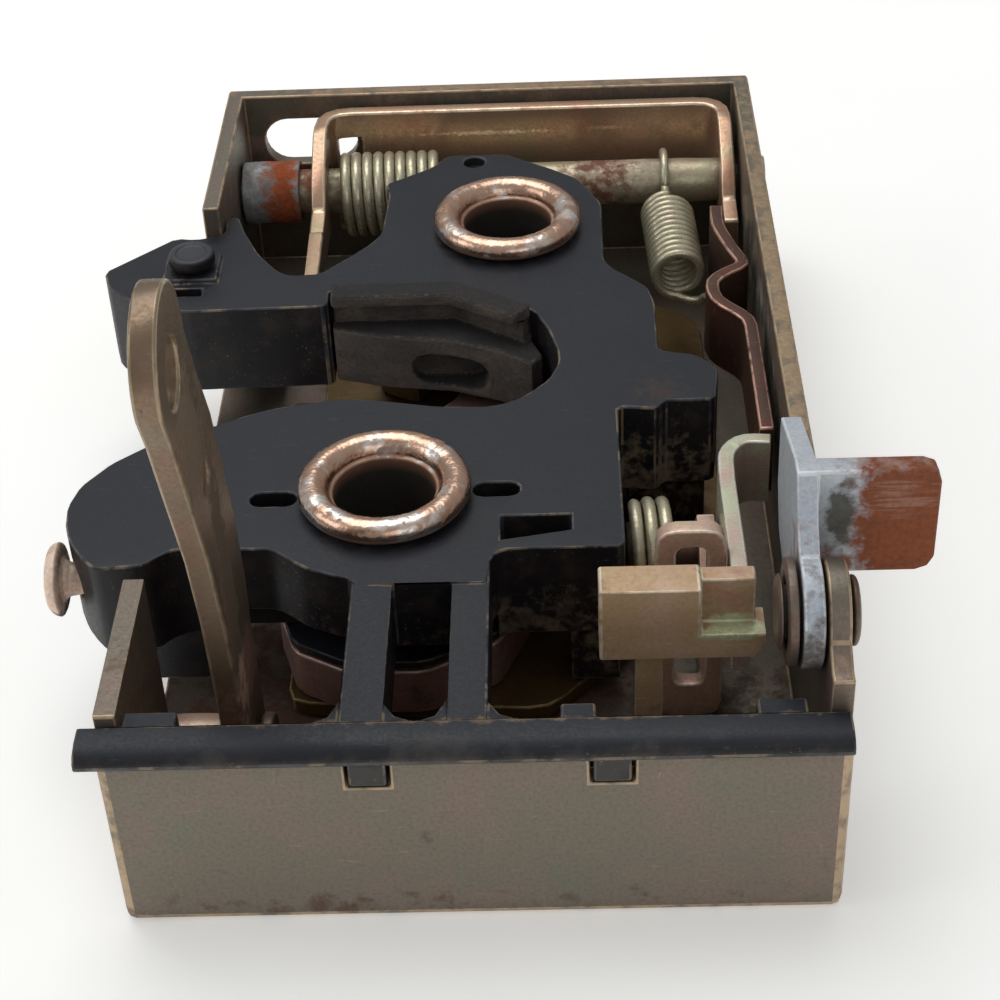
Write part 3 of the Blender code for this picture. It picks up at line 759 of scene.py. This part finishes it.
@dataclass(frozen=True)
class RolledRivetSteel:
    """Drawn steel eyelet, copper-washed, its rolled rim worn bright in patches."""

    name: str = "worn_copper_washed_steel"
    wash: str = "#d3b29c"
    bright: str = "#f6f1ea"
    brown: str = "#8a6450"
    # dark colour of the painted shade in the bore and the corners
    grime_and_shade: str = "#34302a"
    centre: tuple[float, float] = CLAW_PIVOT

    def material(self) -> bpy.types.Material:
        """Builds the finish; below the rim the bore turns brown, then darkens deeper down as
        painted shade.
        """
        sheet = Sheet(self.name)
        rub = sheet.patches(3.6, 0.5, 0.62, shift=self.centre[0], detail=2.5)
        fine = sheet.patches(1.4, 0.35, 0.68, shift=8.0, detail=2.0)
        colour = sheet.coat(self.wash, self.bright, rub)
        colour = sheet.coat(colour, "#b98d74", fine, 0.45)
        spots = sheet.patches(2.1, 0.58, 0.66, shift=14.0 + self.centre[1], detail=3.0)
        colour = sheet.coat(colour, self.brown, spots, 0.6)
        # a brown band just below the rim, then painted shade darkening towards the bottom of the
        # bore
        deep = sheet.between(sheet.place, 21.5, 21.0)
        bore = sheet.between(sheet.place, 21.2, 19.8)
        tone = sheet.coat(self.brown, self.grime_and_shade, bore)
        colour = sheet.coat(colour, tone, deep)
        # painted shade in the corners round the eyelet
        corner = sheet.crevice(1.0) * 0.8
        colour = sheet.coat(colour, self.grime_and_shade, corner)
        dull = spots | deep | corner
        rough = fine * 0.1 + 0.22
        rough = dull * 0.4 + rough
        shine = 1.0 - dull * 0.65
        relief = fine * 0.8 - spots * 0.4
        return sheet.finish(colour, shine, rough, relief, 0.04)


@dataclass(frozen=True)
class NitrileRubber:
    """Black moulded nitrile rubber, matt, with brown dust ground into it."""

    name: str = "nitrile_rubber"
    body: str = "#46413e"
    dust: str = "#75685b"
    crown: str = "#141416"

    def material(self, worn: bool = False) -> bpy.types.Material:
        """Builds the finish; its worn edges carry more dust."""
        sheet = Sheet(self.name + ("_edge" if worn else ""))
        broad = sheet.patches(3.0, 0.4, 0.7, (2.2, 1.0, 1.0), 3.0)
        fine = sheet.patches(0.4, 0.45, 0.7, shift=7.0)
        top = sheet.between(sheet.facing, 0.3, 0.75) * 0.85
        colour = sheet.coat(self.body, self.dust, broad, 0.5)
        colour = sheet.coat(colour, "#231f1c", fine, 0.35)
        colour = sheet.coat(colour, self.crown, top)
        if worn:
            colour = sheet.coat(colour, self.dust, fine, 0.5)
        return sheet.finish(colour, 0.0, 0.78, fine, 0.05)


# ------------------------------------------------------------ the finishes

WIPED = (4.0, 1.0, 0.5)
STREAKED = (5.0, 1.0, 0.4)

CASE_ZINC = ZincPlate(
    "aged_yellow_chromate_case",
    film="#7c7467",
    blush="#85756a",
    sheen="#757768",
    bare="#c4ab8c",
    grime_and_shade="#4c4034",
    rust="#6d4a33",
    rust_share=0.06,
    grime_share=0.22,
    metallic=0.62,
    roughness=0.46,
    drift=11.0,
    marks=(
        Mark((1.9, 9.0, 12.0), (2.6, 7.0, 10.0), "#6a4a33", 0.6, 1.0, 2.2),
        Mark((3.0, 60.0, 12.0), (2.6, 50.0, 9.0), "#57402e", 0.7, 1.2, 4.0),
        Mark((30.0, 103.0, 14.0), (32.0, 2.4, 9.0), "#9a7d6a", 0.75, 1.0, 4.0, 0.2),
        # painted highlight along the upward top edges of the back and right walls
        Mark((30.0, 104.4, 23.6), (40.0, 1.6, 0.9), "#b3987c", 0.8, 0.9, 2.0, 0.1, 1.0),
        Mark((59.3, 60.0, 23.6), (1.6, 60.0, 0.9), "#b49c7d", 0.85, 0.9, 2.0, 0.1, 1.0),
        Mark((57.9, 60.0, 12.0), (1.4, 40.0, 10.0), "#a09a90", 0.6, 1.2, 3.0),
        Mark((20.0, 20.0, 2.0), (26.0, 24.0, 2.0), "#5d3b2a", 0.85, 0.9, 2.6),
        Mark((48.0, 15.0, 2.0), (14.0, 16.0, 2.0), "#4c3a2c", 0.7, 0.9, 2.6),
    ),
)
TAN_ZINC = ZincPlate(
    "bronze_chromate_lever",
    film="#83725f",
    blush="#8c725f",
    sheen="#887e69",
    bare="#a8967b",
    grime_and_shade="#54432f",
    rust_share=0.08,
    metallic=0.72,
    roughness=0.38,
    marks=(
        # painted shade: a dark line down the lever's broad face, standing for a shaded groove
        Mark((11.0, 9.5, 28.0), (0.6, 3.0, 24.0), "#4a3a2b", 0.8, 0.5, 1.2),
        Mark((11.0, 3.0, 47.0), (0.6, 5.0, 6.0), "#5f4d39", 0.5, 0.8, 2.0),
        Mark((10.0, 12.0, 17.0), (3.0, 7.0, 4.6), "#c09784", 0.9, 0.6, 1.5, 0.1, 1.0),
    ),
)
BAIL_ZINC = ZincPlate(
    "pink_chromate_bail",
    film="#c2a389",
    blush="#c99a80",
    sheen="#b5a888",
    bare="#ecd6ba",
    grime_and_shade="#52402f",
    rust_share=0.05,
    metallic=0.75,
    roughness=0.33,
    drift=9.0,
    marks=(
        # painted highlights: two thin bright lines standing for the lit edges of a stamped slot
        # in the bail web
        Mark((29.5, 99.9, 19.4), (9.6, 1.2, 0.35), "#ead8bd", 0.85, 0.5, 0.6, -0.3, 1.0),
        Mark((43.6, 99.9, 19.6), (2.9, 1.2, 0.3), "#ead8bd", 0.8, 0.5, 0.6, -0.3, 1.0),
    ),
)
LINK_ZINC = ZincPlate(
    "rose_chromate_link",
    film="#5c443c",
    blush="#6b473c",
    sheen="#5f4d3f",
    bare="#d3a792",
    rust_share=0.08,
    metallic=0.6,
    roughness=0.42,
)
GREEN_ZINC = ZincPlate(
    "green_chromate_strip",
    film="#dfe3c6",
    blush="#e2c6ba",
    sheen="#d4e4b8",
    bare="#f2f4e4",
    rust_share=0.04,
    grime_share=0.2,
    metallic=0.42,
    roughness=0.32,
    drift=5.0,
)
BLOCK_ZINC = ZincPlate(
    "tan_chromate_block",
    film="#c6a680",
    blush="#cfae92",
    sheen="#cbb591",
    bare="#f0e4cc",
    grime_and_shade="#6a4a2c",
    rust="#7c4c22",
    rust_share=0.12,
    metallic=0.22,
    roughness=0.4,
    drift=4.0,
    marks=(
        Mark((51.4, 12.0, 20.4), (3.4, 2.6, 1.0), "#d5dfb4", 0.95, 0.4, 1.2, -0.3, 1.0),
        Mark((51.0, 14.6, 22.9), (3.2, 1.6, 2.4), "#c99a82", 0.85, 0.4, 1.4, 0.1, 1.0),
    ),
)
BRACKET_ZINC = ZincPlate(
    "pink_chromate_bracket",
    film="#d8b3a0",
    blush="#e2bfae",
    sheen="#d3c0a0",
    bare="#f6e6d6",
    rust_share=0.1,
    metallic=0.35,
    roughness=0.36,
    drift=4.0,
)
GREY_ZINC = ZincPlate(
    "blue_passivated_lever",
    film="#bcc5d0",
    blush="#c6cbd2",
    sheen="#adb6bb",
    bare="#e6e9ec",
    grime_and_shade="#58554c",
    rust_share=0.04,
    grime_share=0.25,
    metallic=0.15,
    roughness=0.45,
    drift=4.0,
    marks=(
        Mark((66.0, 16.3, 28.5), (6.7, 4.0, 14.0), "#8a4a2c", 1.0, 0.3, 1.4, 0.7),
        Mark((65.0, 16.3, 27.5), (5.0, 3.0, 7.0), "#9a5835", 0.7, 1.0, 1.2, 0.5, 0.0, WIPED),
        Mark((65.0, 16.3, 31.5), (3.4, 3.0, 2.4), "#b58a78", 0.55, 1.1, 0.8, 0.3, 0.0, STREAKED),
        Mark((64.0, 16.4, 34.6), (5.5, 2.6, 1.1), "#a88b80", 0.8, 0.8, 1.2, 0.5),
        Mark((59.9, 15.4, 29.6), (1.5, 1.2, 4.2), "#55564d", 0.95, 0.5, 1.4, 0.5),
        Mark((57.0, 9.5, 22.3), (1.9, 8.5, 7.4), "#685f57", 0.9, 0.5, 1.6, 0.5),
        Mark((59.0, 15.6, 24.4), (3.6, 2.6, 2.0), "#8f4f2f", 0.9, 0.7, 1.3, 0.6),
        Mark((57.2, 14.0, 26.5), (1.6, 3.6, 4.0), "#9a5a33", 0.75, 0.9, 1.5, 0.6),
    ),
)
DISC_ZINC = ZincPlate(
    "grey_tan_disc",
    film="#7a6b60",
    blush="#7d6356",
    sheen="#77736c",
    bare="#a3937f",
    rust_share=0.2,
    metallic=0.6,
    roughness=0.45,
    drift=2.5,
)
HIDDEN_ZINC = ZincPlate(
    "ochre_chromate_plate",
    film="#705a34",
    blush="#6a5132",
    sheen="#6f6040",
    bare="#a08c62",
    grime_and_shade="#3f2f1f",
    rust_share=0.3,
    grime_share=0.5,
    metallic=0.55,
    roughness=0.45,
    drift=5.0,
)
CLAW_ZINC = ZincPlate(
    "pink_chromate_claw",
    film="#a8837a",
    blush="#b08a80",
    sheen="#9a8a72",
    bare="#d6bdae",
    grime_and_shade="#33261f",
    rust_share=0.15,
    grime_share=0.45,
    metallic=0.6,
    roughness=0.4,
    drift=4.0,
)
AXLE_STEEL = ZincPlate(
    "rusted_axle_steel",
    film="#bdb697",
    blush="#bba993",
    sheen="#cfccae",
    bare="#e6e1ca",
    rust="#8a4a2a",
    rust_share=0.12,
    metallic=0.6,
    roughness=0.4,
    drift=4.0,
    marks=(
        Mark((42.6, 95.0, 16.0), (4.8, 3.8, 3.8), "#7d4a38", 0.95, 0.7, 1.2),
        Mark((47.6, 95.0, 16.5), (2.4, 3.6, 3.6), "#b9a394", 0.75, 1.1, 0.9),
        Mark((10.0, 95.0, 16.0), (3.0, 3.4, 3.4), "#8f4a2a", 0.9, 0.5, 1.4),
    ),
)
COLLAR_STEEL = ZincPlate(
    "rusted_collar",
    film="#9a9ea0",
    blush="#8f8a86",
    sheen="#a8acae",
    bare="#c5c9cb",
    rust="#9c4f2a",
    rust_share=0.3,
    metallic=0.35,
    roughness=0.6,
    drift=2.0,
    marks=(
        Mark((6.6, 95.0, 15.5), (2.9, 7.0, 7.0), "#a4522c", 1.0, 0.4, 1.3),
        Mark((5.2, 93.0, 17.5), (1.2, 2.0, 1.6), "#8d8683", 0.7, 0.8, 0.9),
    ),
)
SPRING_WIRE = ZincPlate(
    "zinc_plated_spring_wire",
    film="#ccc6a9",
    blush="#d0c3aa",
    sheen="#bfc4a6",
    bare="#f2eedd",
    grime_and_shade="#3b3527",
    rust="#6f4a2d",
    rust_share=0.06,
    grime_share=0.3,
    metallic=0.6,
    roughness=0.3,
    drift=3.0,
)
KNOB_STEEL = ZincPlate(
    "rusty_stud_head",
    film="#f6dcc8",
    blush="#ecc8b0",
    sheen="#e4d6c8",
    bare="#f8eadc",
    rust="#8a5c42",
    rust_share=0.14,
    metallic=0.2,
    roughness=0.5,
    drift=2.0,
    marks=(
        Mark((-8.0, 26.6, 12.6), (2.0, 4.0, 2.6), "#2f2925", 0.95, 0.5, 1.0),
    ),
)
BLACK_NYLON = MouldedNylon(
    "moulded_black_nylon",
    marks=(
        Mark((44.0, 36.0, 10.0), (14.0, 17.0, 7.8), "#857563", 0.75, 0.8, 1.2),
        Mark((31.5, -0.6, 17.0), (36.0, 2.4, 3.4), "#6f6a61", 0.25, 1.0, 5.0),
        Mark((26.0, 22.0, 10.0), (16.0, 4.0, 6.6), "#6a5b4c", 0.7, 0.8, 1.2),
        Mark((47.0, 47.0, 20.4), (3.0, 3.0, 0.8), "#4a3c2e", 0.5, 1.2, 1.0),
        Mark((31.5, 2.2, 20.5), (30.0, 0.5, 0.35), "#7c6b57", 0.8, 1.4, 1.4),
    ),
)
BUFFER_RUBBER = NitrileRubber()


def dress(piece: bpy.types.Object, finish) -> None:
    """Gives a piece its finish: slot 0 for its faces, slot 1 for its edges."""
    piece.data.materials.clear()
    piece.data.materials.append(finish.material())
    if any(m.type == "BEVEL" for m in piece.modifiers):
        piece.data.materials.append(finish.material(worn=True))


def settle(piece: bpy.types.Object, body: str, node: str, finish) -> None:
    """Dresses a new piece, puts it on its body and lets it stand for its node.

    Args:
        piece: the new object.
        body: the CAD body that it rides on.
        node: the CAD node that it replaces.
        finish: the finish that it wears.
    """
    dress(piece, finish)
    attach(piece, body)
    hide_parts(node)
    triangles = sum(len(p.vertices) - 2 for p in piece.data.polygons)
    LOG.info("%s on %s, %d triangles before rounding", piece.name, body, triangles)


# ---------------------------------------------------------- sub-assemblies


@dataclass
class CaseHalf:
    """Folded steel case and the support plate riveted inside it."""

    edge: float = 0.22
    fold: float = 0.9

    def build(self) -> None:
        """Builds and dresses both sheet pieces."""
        shell = pressed_piece("case_shell", "case", self.edge, self.fold)
        settle(shell, "housing", "case", CASE_ZINC)
        plate = pressed_piece("floor_plate", "support_plate", self.edge)
        settle(plate, "housing", "support_plate", HIDDEN_ZINC)


@dataclass
class Moulding:
    """Black moulded latch body with its rubber buffer and two studs."""

    edge: float = 0.2

    def build(self) -> None:
        """Builds the moulding, the buffer and the studs."""
        body = pressed_piece("moulded_body", "latch_body", self.edge)
        settle(body, "housing", "latch_body", BLACK_NYLON)
        buffer = pressed_piece("rubber_buffer", "striker_buffer", 0.3)
        settle(buffer, "housing", "striker_buffer", BUFFER_RUBBER)
        seat = 21.25
        head = [(1.3, 13.6), (1.3, seat), (2.4, seat), (2.4, 22.3), (2.2, 22.65)]
        head += [(1.7, 22.7), (1.5, 22.5), (0.5, 22.5)]
        stud = turned_piece("arm_pin", head, ARM_STUD, Axis.Z)
        settle(stud, "housing", "arm_stud", MouldedNylon("black_stud", skin="#3a3d42"))
        head = [(2.2, -8.5), (2.9, -8.4), (3.3, -7.9), (3.35, -7.2), (1.4, -7.2)]
        head += [(1.4, -3.4)]
        knob = turned_piece(
            "lobe_knob", head, LOBE_STUD, Axis.X, lumps=0.08, lump_size=0.5
        )
        settle(knob, "housing", "lobe_stud", KNOB_STEEL)


@dataclass
class ClawAndPawl:
    """Fork, pawl, their eyelets and the return coils round them."""

    tube: float = 5.6
    bore: float = 4.6
    seat: float = 20.7
    rim: tuple[tuple[float, float], ...] = field(
        default=(
            (7.1, 20.7),
            (7.6, 20.9),
            (7.8, 21.5),
            (7.7, 22.1),
            (7.2, 22.6),
            (6.5, 22.78),
            (5.8, 22.65),
            (5.25, 22.2),
            (5.0, 21.6),
            (4.95, 21.3),
            (4.65, 21.2),
            (4.6, 20.9),
        )
    )

    def eyelet(self, name: str, node: str, pivot: tuple[float, float]) -> None:
        """Turns one rolled-over eyelet, its rim slightly hammered."""
        section = [(self.bore, 20.0), (self.bore, 10.0), (self.bore, 0.2)]
        section += [(self.tube, 0.2), (self.tube, 10.0), (self.tube, self.seat)]
        line = list(self.rim) + section
        ring = turned_piece(
            name, line, pivot, Axis.Z, ring=True, sides=96, lumps=0.04, lump_size=1.1
        )
        settle(ring, "housing", node, RolledRivetSteel(name + "_steel", centre=pivot))

    def build(self) -> None:
        """Builds the fork, the pawl, the eyelets and the return coils."""
        fork = pressed_piece("fork_claw", "claw", 0.25)
        settle(fork, "claw_body", "claw", CLAW_ZINC)
        skin = pressed_piece("fork_jacket", "claw_jacket", 0.15)
        settle(skin, "claw_body", "claw_jacket", MouldedNylon("claw_jacket_nylon"))
        pawl = pressed_piece("catch_pawl", "pawl", 0.25)
        settle(pawl, "pawl_body", "pawl", HIDDEN_ZINC)
        self.eyelet("claw_pivot_eyelet", "claw_eyelet", CLAW_PIVOT)
        self.eyelet("pawl_pivot_eyelet", "pawl_eyelet", PAWL_PIVOT)
        coils = (("claw_spring", CLAW_PIVOT, 180.0), ("pawl_spring", PAWL_PIVOT, 20.0))
        for node, pivot, first in coils:
            line = coil_line(pivot, 7.4, 11.4, 13.7, 1.6, first, Axis.Z)
            coil = wire_piece(node.replace("spring", "return_coil"), line, 0.55)
            settle(coil, "housing", node, SPRING_WIRE)


@dataclass
class ReleaseBail:
    """Cross axle, its collar, the U-shaped bail and the two springs on it."""

    coil_radius: float = 4.2
    wire: float = 0.62

    def build(self) -> None:
        """Builds the axle group."""
        y, z = AXLE_Y, AXLE_Z
        rod = [(2.4, -1.5), (2.6, -1.2), (2.6, -0.3), (1.6, -0.3), (1.6, 2.1)]
        rod += [(2.5, 2.15), (2.5, 20.0), (2.5, 40.0), (2.5, 57.9), (1.6, 57.9)]
        rod += [(1.6, 60.3), (2.6, 60.3), (2.6, 61.0), (2.4, 61.3)]
        axle = turned_piece(
            "cross_axle", rod, (y, z), Axis.X, lumps=0.05, lump_size=0.6
        )
        settle(axle, "housing", "bail_axle", AXLE_STEEL)
        sleeve = [(3.4, 2.1), (3.5, 2.4), (3.5, 8.3), (3.4, 8.6), (2.8, 8.6), (2.8, 2.1)]
        collar = turned_piece(
            "rusted_collar", sleeve, (y, z), Axis.X, ring=True, lumps=0.1, lump_size=0.5
        )
        settle(collar, "housing", "axle_collar", COLLAR_STEEL)
        bail = pressed_piece("pull_bail", "release_bail", 0.3)
        settle(bail, "bail_body", "release_bail", BAIL_ZINC)
        r = self.coil_radius
        z -= 0.6
        first = leg_line([(12.7, y + 4.4, z - r - 0.2), (12.9, y + 2.2, z - r)], (1, 0, 0))
        last = leg_line([(24.6, y + 2.2, z - r), (24.9, y + 4.6, z - r)], (1, 0, 0))
        coil = coil_line((y, z), r, 13.2, 24.4, 9.0, -90.0, Axis.X)
        line = np.concatenate([first, coil, last])
        settle(
            wire_piece("bail_coil", line, self.wire),
            "housing",
            "bail_torsion_spring",
            SPRING_WIRE,
        )
        self.return_spring()

    def return_spring(self) -> None:
        """Winds the close extension coil and hooks it over the axle."""
        x, z, r = 49.9, AXLE_Z, 2.5
        reach = 3.25
        turn = np.radians(np.linspace(-30, 165, 22))
        hook = np.stack(
            [np.full(22, x), AXLE_Y + reach * np.cos(turn), z + reach * np.sin(turn)], 1
        )
        hook = np.concatenate([hook, np.tile([1.0, 0.0, 0.0], (22, 1))], axis=1)
        neck = leg_line([(x, 90.2, z + 0.6), (x, 88.9, z + 1.7)], (0.7, 0, 0.7))
        coil = coil_line((x, z), r, 87.6, 74.6, 12.5, 90.0, Axis.Y)
        coil[:, 0] += 0.04 * (87.6 - coil[:, 1])
        end = [(x + 1.7, 74.2, z - 2.9), (x + 2.9, 73.9, z - 2.7), (x + 3.3, 73.6, z - 1.9)]
        line = np.concatenate([hook, neck, coil, leg_line(end, (0, 1, 0))])
        spring = wire_piece("close_wound_spring", line, 0.46)
        settle(spring, "housing", "link_return_spring", SPRING_WIRE)


@dataclass
class LockTrain:
    """Right-hand lever, the strips and block that it shifts, and their spring."""

    edge: float = 0.22

    def build(self) -> None:
        """Builds the lever train."""
        rows = (
            ("link_bar", "link_strip", "slide_body", LINK_ZINC),
            ("hooked_strip", "lock_lever", "slide_body", GREEN_ZINC),
            ("stop_block", "lock_block", "slide_body", BLOCK_ZINC),
            ("tab_lever", "side_lever", "side_lever_body", GREY_ZINC),
            ("arched_bracket", "spring_bracket", "housing", BRACKET_ZINC),
        )
        for name, node, body, finish in rows:
            settle(pressed_piece(name, node, self.edge), body, node, finish)
        disc = [(4.3, 55.1), (4.4, 55.3), (4.4, 55.8), (4.3, 55.9), (2.3, 55.9)]
        disc += [(2.3, 55.1)]
        washer = turned_piece(
            "pivot_washer", disc, SIDE_PIVOT, Axis.X, ring=True, lumps=0.03
        )
        settle(washer, "side_lever_body", "side_lever_washer", DISC_ZINC)
        rivet = [(2.6, 54.4), (3.1, 54.6), (3.1, 54.8), (2.0, 54.8), (2.0, 60.3)]
        rivet += [(2.85, 60.3), (2.9, 60.7), (2.5, 60.95), (1.8, 61.0)]
        pin = turned_piece("pivot_rivet", rivet, SIDE_PIVOT, Axis.X, lumps=0.03)
        settle(pin, "housing", "side_lever_rivet", DISC_ZINC)
        line = coil_line(LOCK_COIL, 4.3, 43.9, 46.9, 2.3, 60.0, Axis.X)
        coil = wire_piece("lock_coil", line, 0.6)
        settle(coil, "housing", "lock_torsion_spring", SPRING_WIRE)
        peg = [(2.4, 43.2), (2.6, 43.4), (2.6, 43.9), (1.4, 43.9), (1.4, 51.0)]
        post = turned_piece("coil_post", peg, LOCK_COIL, Axis.X)
        settle(post, "housing", "spring_pin", DISC_ZINC)


@dataclass
class OutsideLever:
    """Upright lever in the left window with its pin and spacer."""

    edge: float = 0.28

    def build(self) -> None:
        """Builds the lever, its pin and its spacer."""
        lever = pressed_piece("upright_lever", "outside_lever", self.edge)
        settle(lever, "outside_lever_body", "outside_lever", TAN_ZINC)
        pin = [(2.8, -1.4), (3.0, -1.2), (3.0, -0.3), (1.6, -0.3), (1.6, 11.2)]
        pin += [(3.0, 11.2), (3.0, 12.2), (2.8, 12.4)]
        settle(
            turned_piece("lever_pin", pin, LEVER_PIVOT, Axis.X, lumps=0.03),
            "housing",
            "outside_lever_pin",
            DISC_ZINC,
        )
        tube = [(3.0, 2.1), (3.0, 8.6), (1.9, 8.6), (1.9, 2.1)]
        spacer = turned_piece("lever_spacer", tube, LEVER_PIVOT, Axis.X, ring=True)
        settle(spacer, "housing", "outside_lever_bush", BRACKET_ZINC)


@dataclass
class Studio:
    """Pale floor, soft lamps and the camera."""

    eye: tuple[float, float, float] = (8.689, -170.421, 137.372)
    pitch: float = 37.946
    yaw: float = -2.2136
    roll: float = -2.8123
    lens: float = 76.95
    floor_size: float = 3.0

    def floor(self) -> None:
        """Lays a pale matt floor under the case."""
        half = self.floor_size / 2
        corners = [(-half, -half, 0), (half, -half, 0), (half, half, 0), (-half, half, 0)]
        mesh = bpy.data.meshes.new("studio_floor")
        mesh.from_pydata(corners, [], [(0, 1, 2, 3)])
        plane = bpy.data.objects.new("studio_floor", mesh)
        bpy.context.scene.collection.objects.link(plane)
        sheet = Sheet("white_paper_floor")
        tone = sheet.coat("#f6f6f4", "#f2f2f0", sheet.patches(60.0, 0.3, 0.7))
        glow = {"Emission_Color": linear("#fbfbf9"), "Emission_Strength": 0.3}
        mesh.materials.append(sheet.finish(tone, 0.0, 0.9, 0.5, 0.01, **glow))

    def lamps(self) -> None:
        """Hangs one broad lamp over the back left and two weaker fills."""
        lamps = (
            ("overhead", (-0.10, 0.20, 0.55), 0.45, 1.5),
            ("window", (-0.5, -0.10, 0.35), 0.3, 0.45),
            ("front_fill", (0.20, -0.6, 0.35), 0.4, 0.35),
        )
        for name, place, size, power in lamps:
            data = bpy.data.lights.new(name, "AREA")
            data.size = size
            data.energy = power
            lamp = bpy.data.objects.new(name, data)
            lamp.location = place
            aim = Vector((0, 0, 0.01)) - Vector(place)
            lamp.rotation_euler = aim.to_track_quat("-Z", "Y").to_euler()
            bpy.context.scene.collection.objects.link(lamp)

    def sky(self) -> None:
        """Surrounds the scene with even pale light, brighter overhead."""
        world = bpy.data.worlds.new("soft_room")
        bpy.context.scene.world = world
        world.use_nodes = True
        tree = world.node_tree
        tree.nodes.clear()
        spot = add_node(tree, "TexCoord", {}, "Generated")
        up = add_node(tree, "SeparateXYZ", {0: spot}, out=2)
        share = add_node(tree, "MapRange", {"Value": up, "From Min": -0.1})
        inputs = {0: share, 6: (0.62, 0.62, 0.62, 1), 7: (1, 1, 1, 1)}
        tone = add_node(tree, "Mix", inputs, out=2, data_type="RGBA")
        light = add_node(tree, "Background", {"Color": tone, "Strength": 0.42})
        add_node(tree, "OutputWorld", {"Surface": light})

    def camera(self) -> None:
        """Sets the camera: forward from pitch and yaw, then a small roll."""
        pitch, yaw, roll = (math.radians(a) for a in (self.pitch, self.yaw, self.roll))
        ahead = Vector((math.sin(yaw) * math.cos(pitch), math.cos(yaw) * math.cos(pitch), 0))
        ahead.z = -math.sin(pitch)
        right = Vector((math.cos(yaw), -math.sin(yaw), 0))
        up = right.cross(ahead)
        side = right * math.cos(roll) + up * math.sin(roll)
        top = up * math.cos(roll) - right * math.sin(roll)
        data = bpy.data.cameras.new("bench_camera")
        data.lens = self.lens
        data.sensor_width = 36.0
        data.clip_start, data.clip_end = 0.005, 20.0
        eye = bpy.data.objects.new("bench_camera", data)
        turn = Matrix((side, top, -ahead)).transposed().to_4x4()
        eye.matrix_world = Matrix.Translation(Vector(self.eye) * MM) @ turn
        bpy.context.scene.collection.objects.link(eye)
        bpy.context.scene.camera = eye

    def build(self) -> None:
        """Builds the floor, the light and the camera."""
        self.floor()
        self.lamps()
        self.sky()
        self.camera()
        bpy.context.scene.view_settings.view_transform = "Standard"


def main() -> None:
    """Builds every sub-assembly in order, then the studio."""
    logging.basicConfig(level=logging.INFO, format="%(message)s")
    for part in (
        CaseHalf(),
        Moulding(),
        ClawAndPawl(),
        ReleaseBail(),
        LockTrain(),
        OutsideLever(),
        Studio(),
    ):
        part.build()
        LOG.info("built %s", type(part).__name__)


if __name__ == "__main__":
    main()
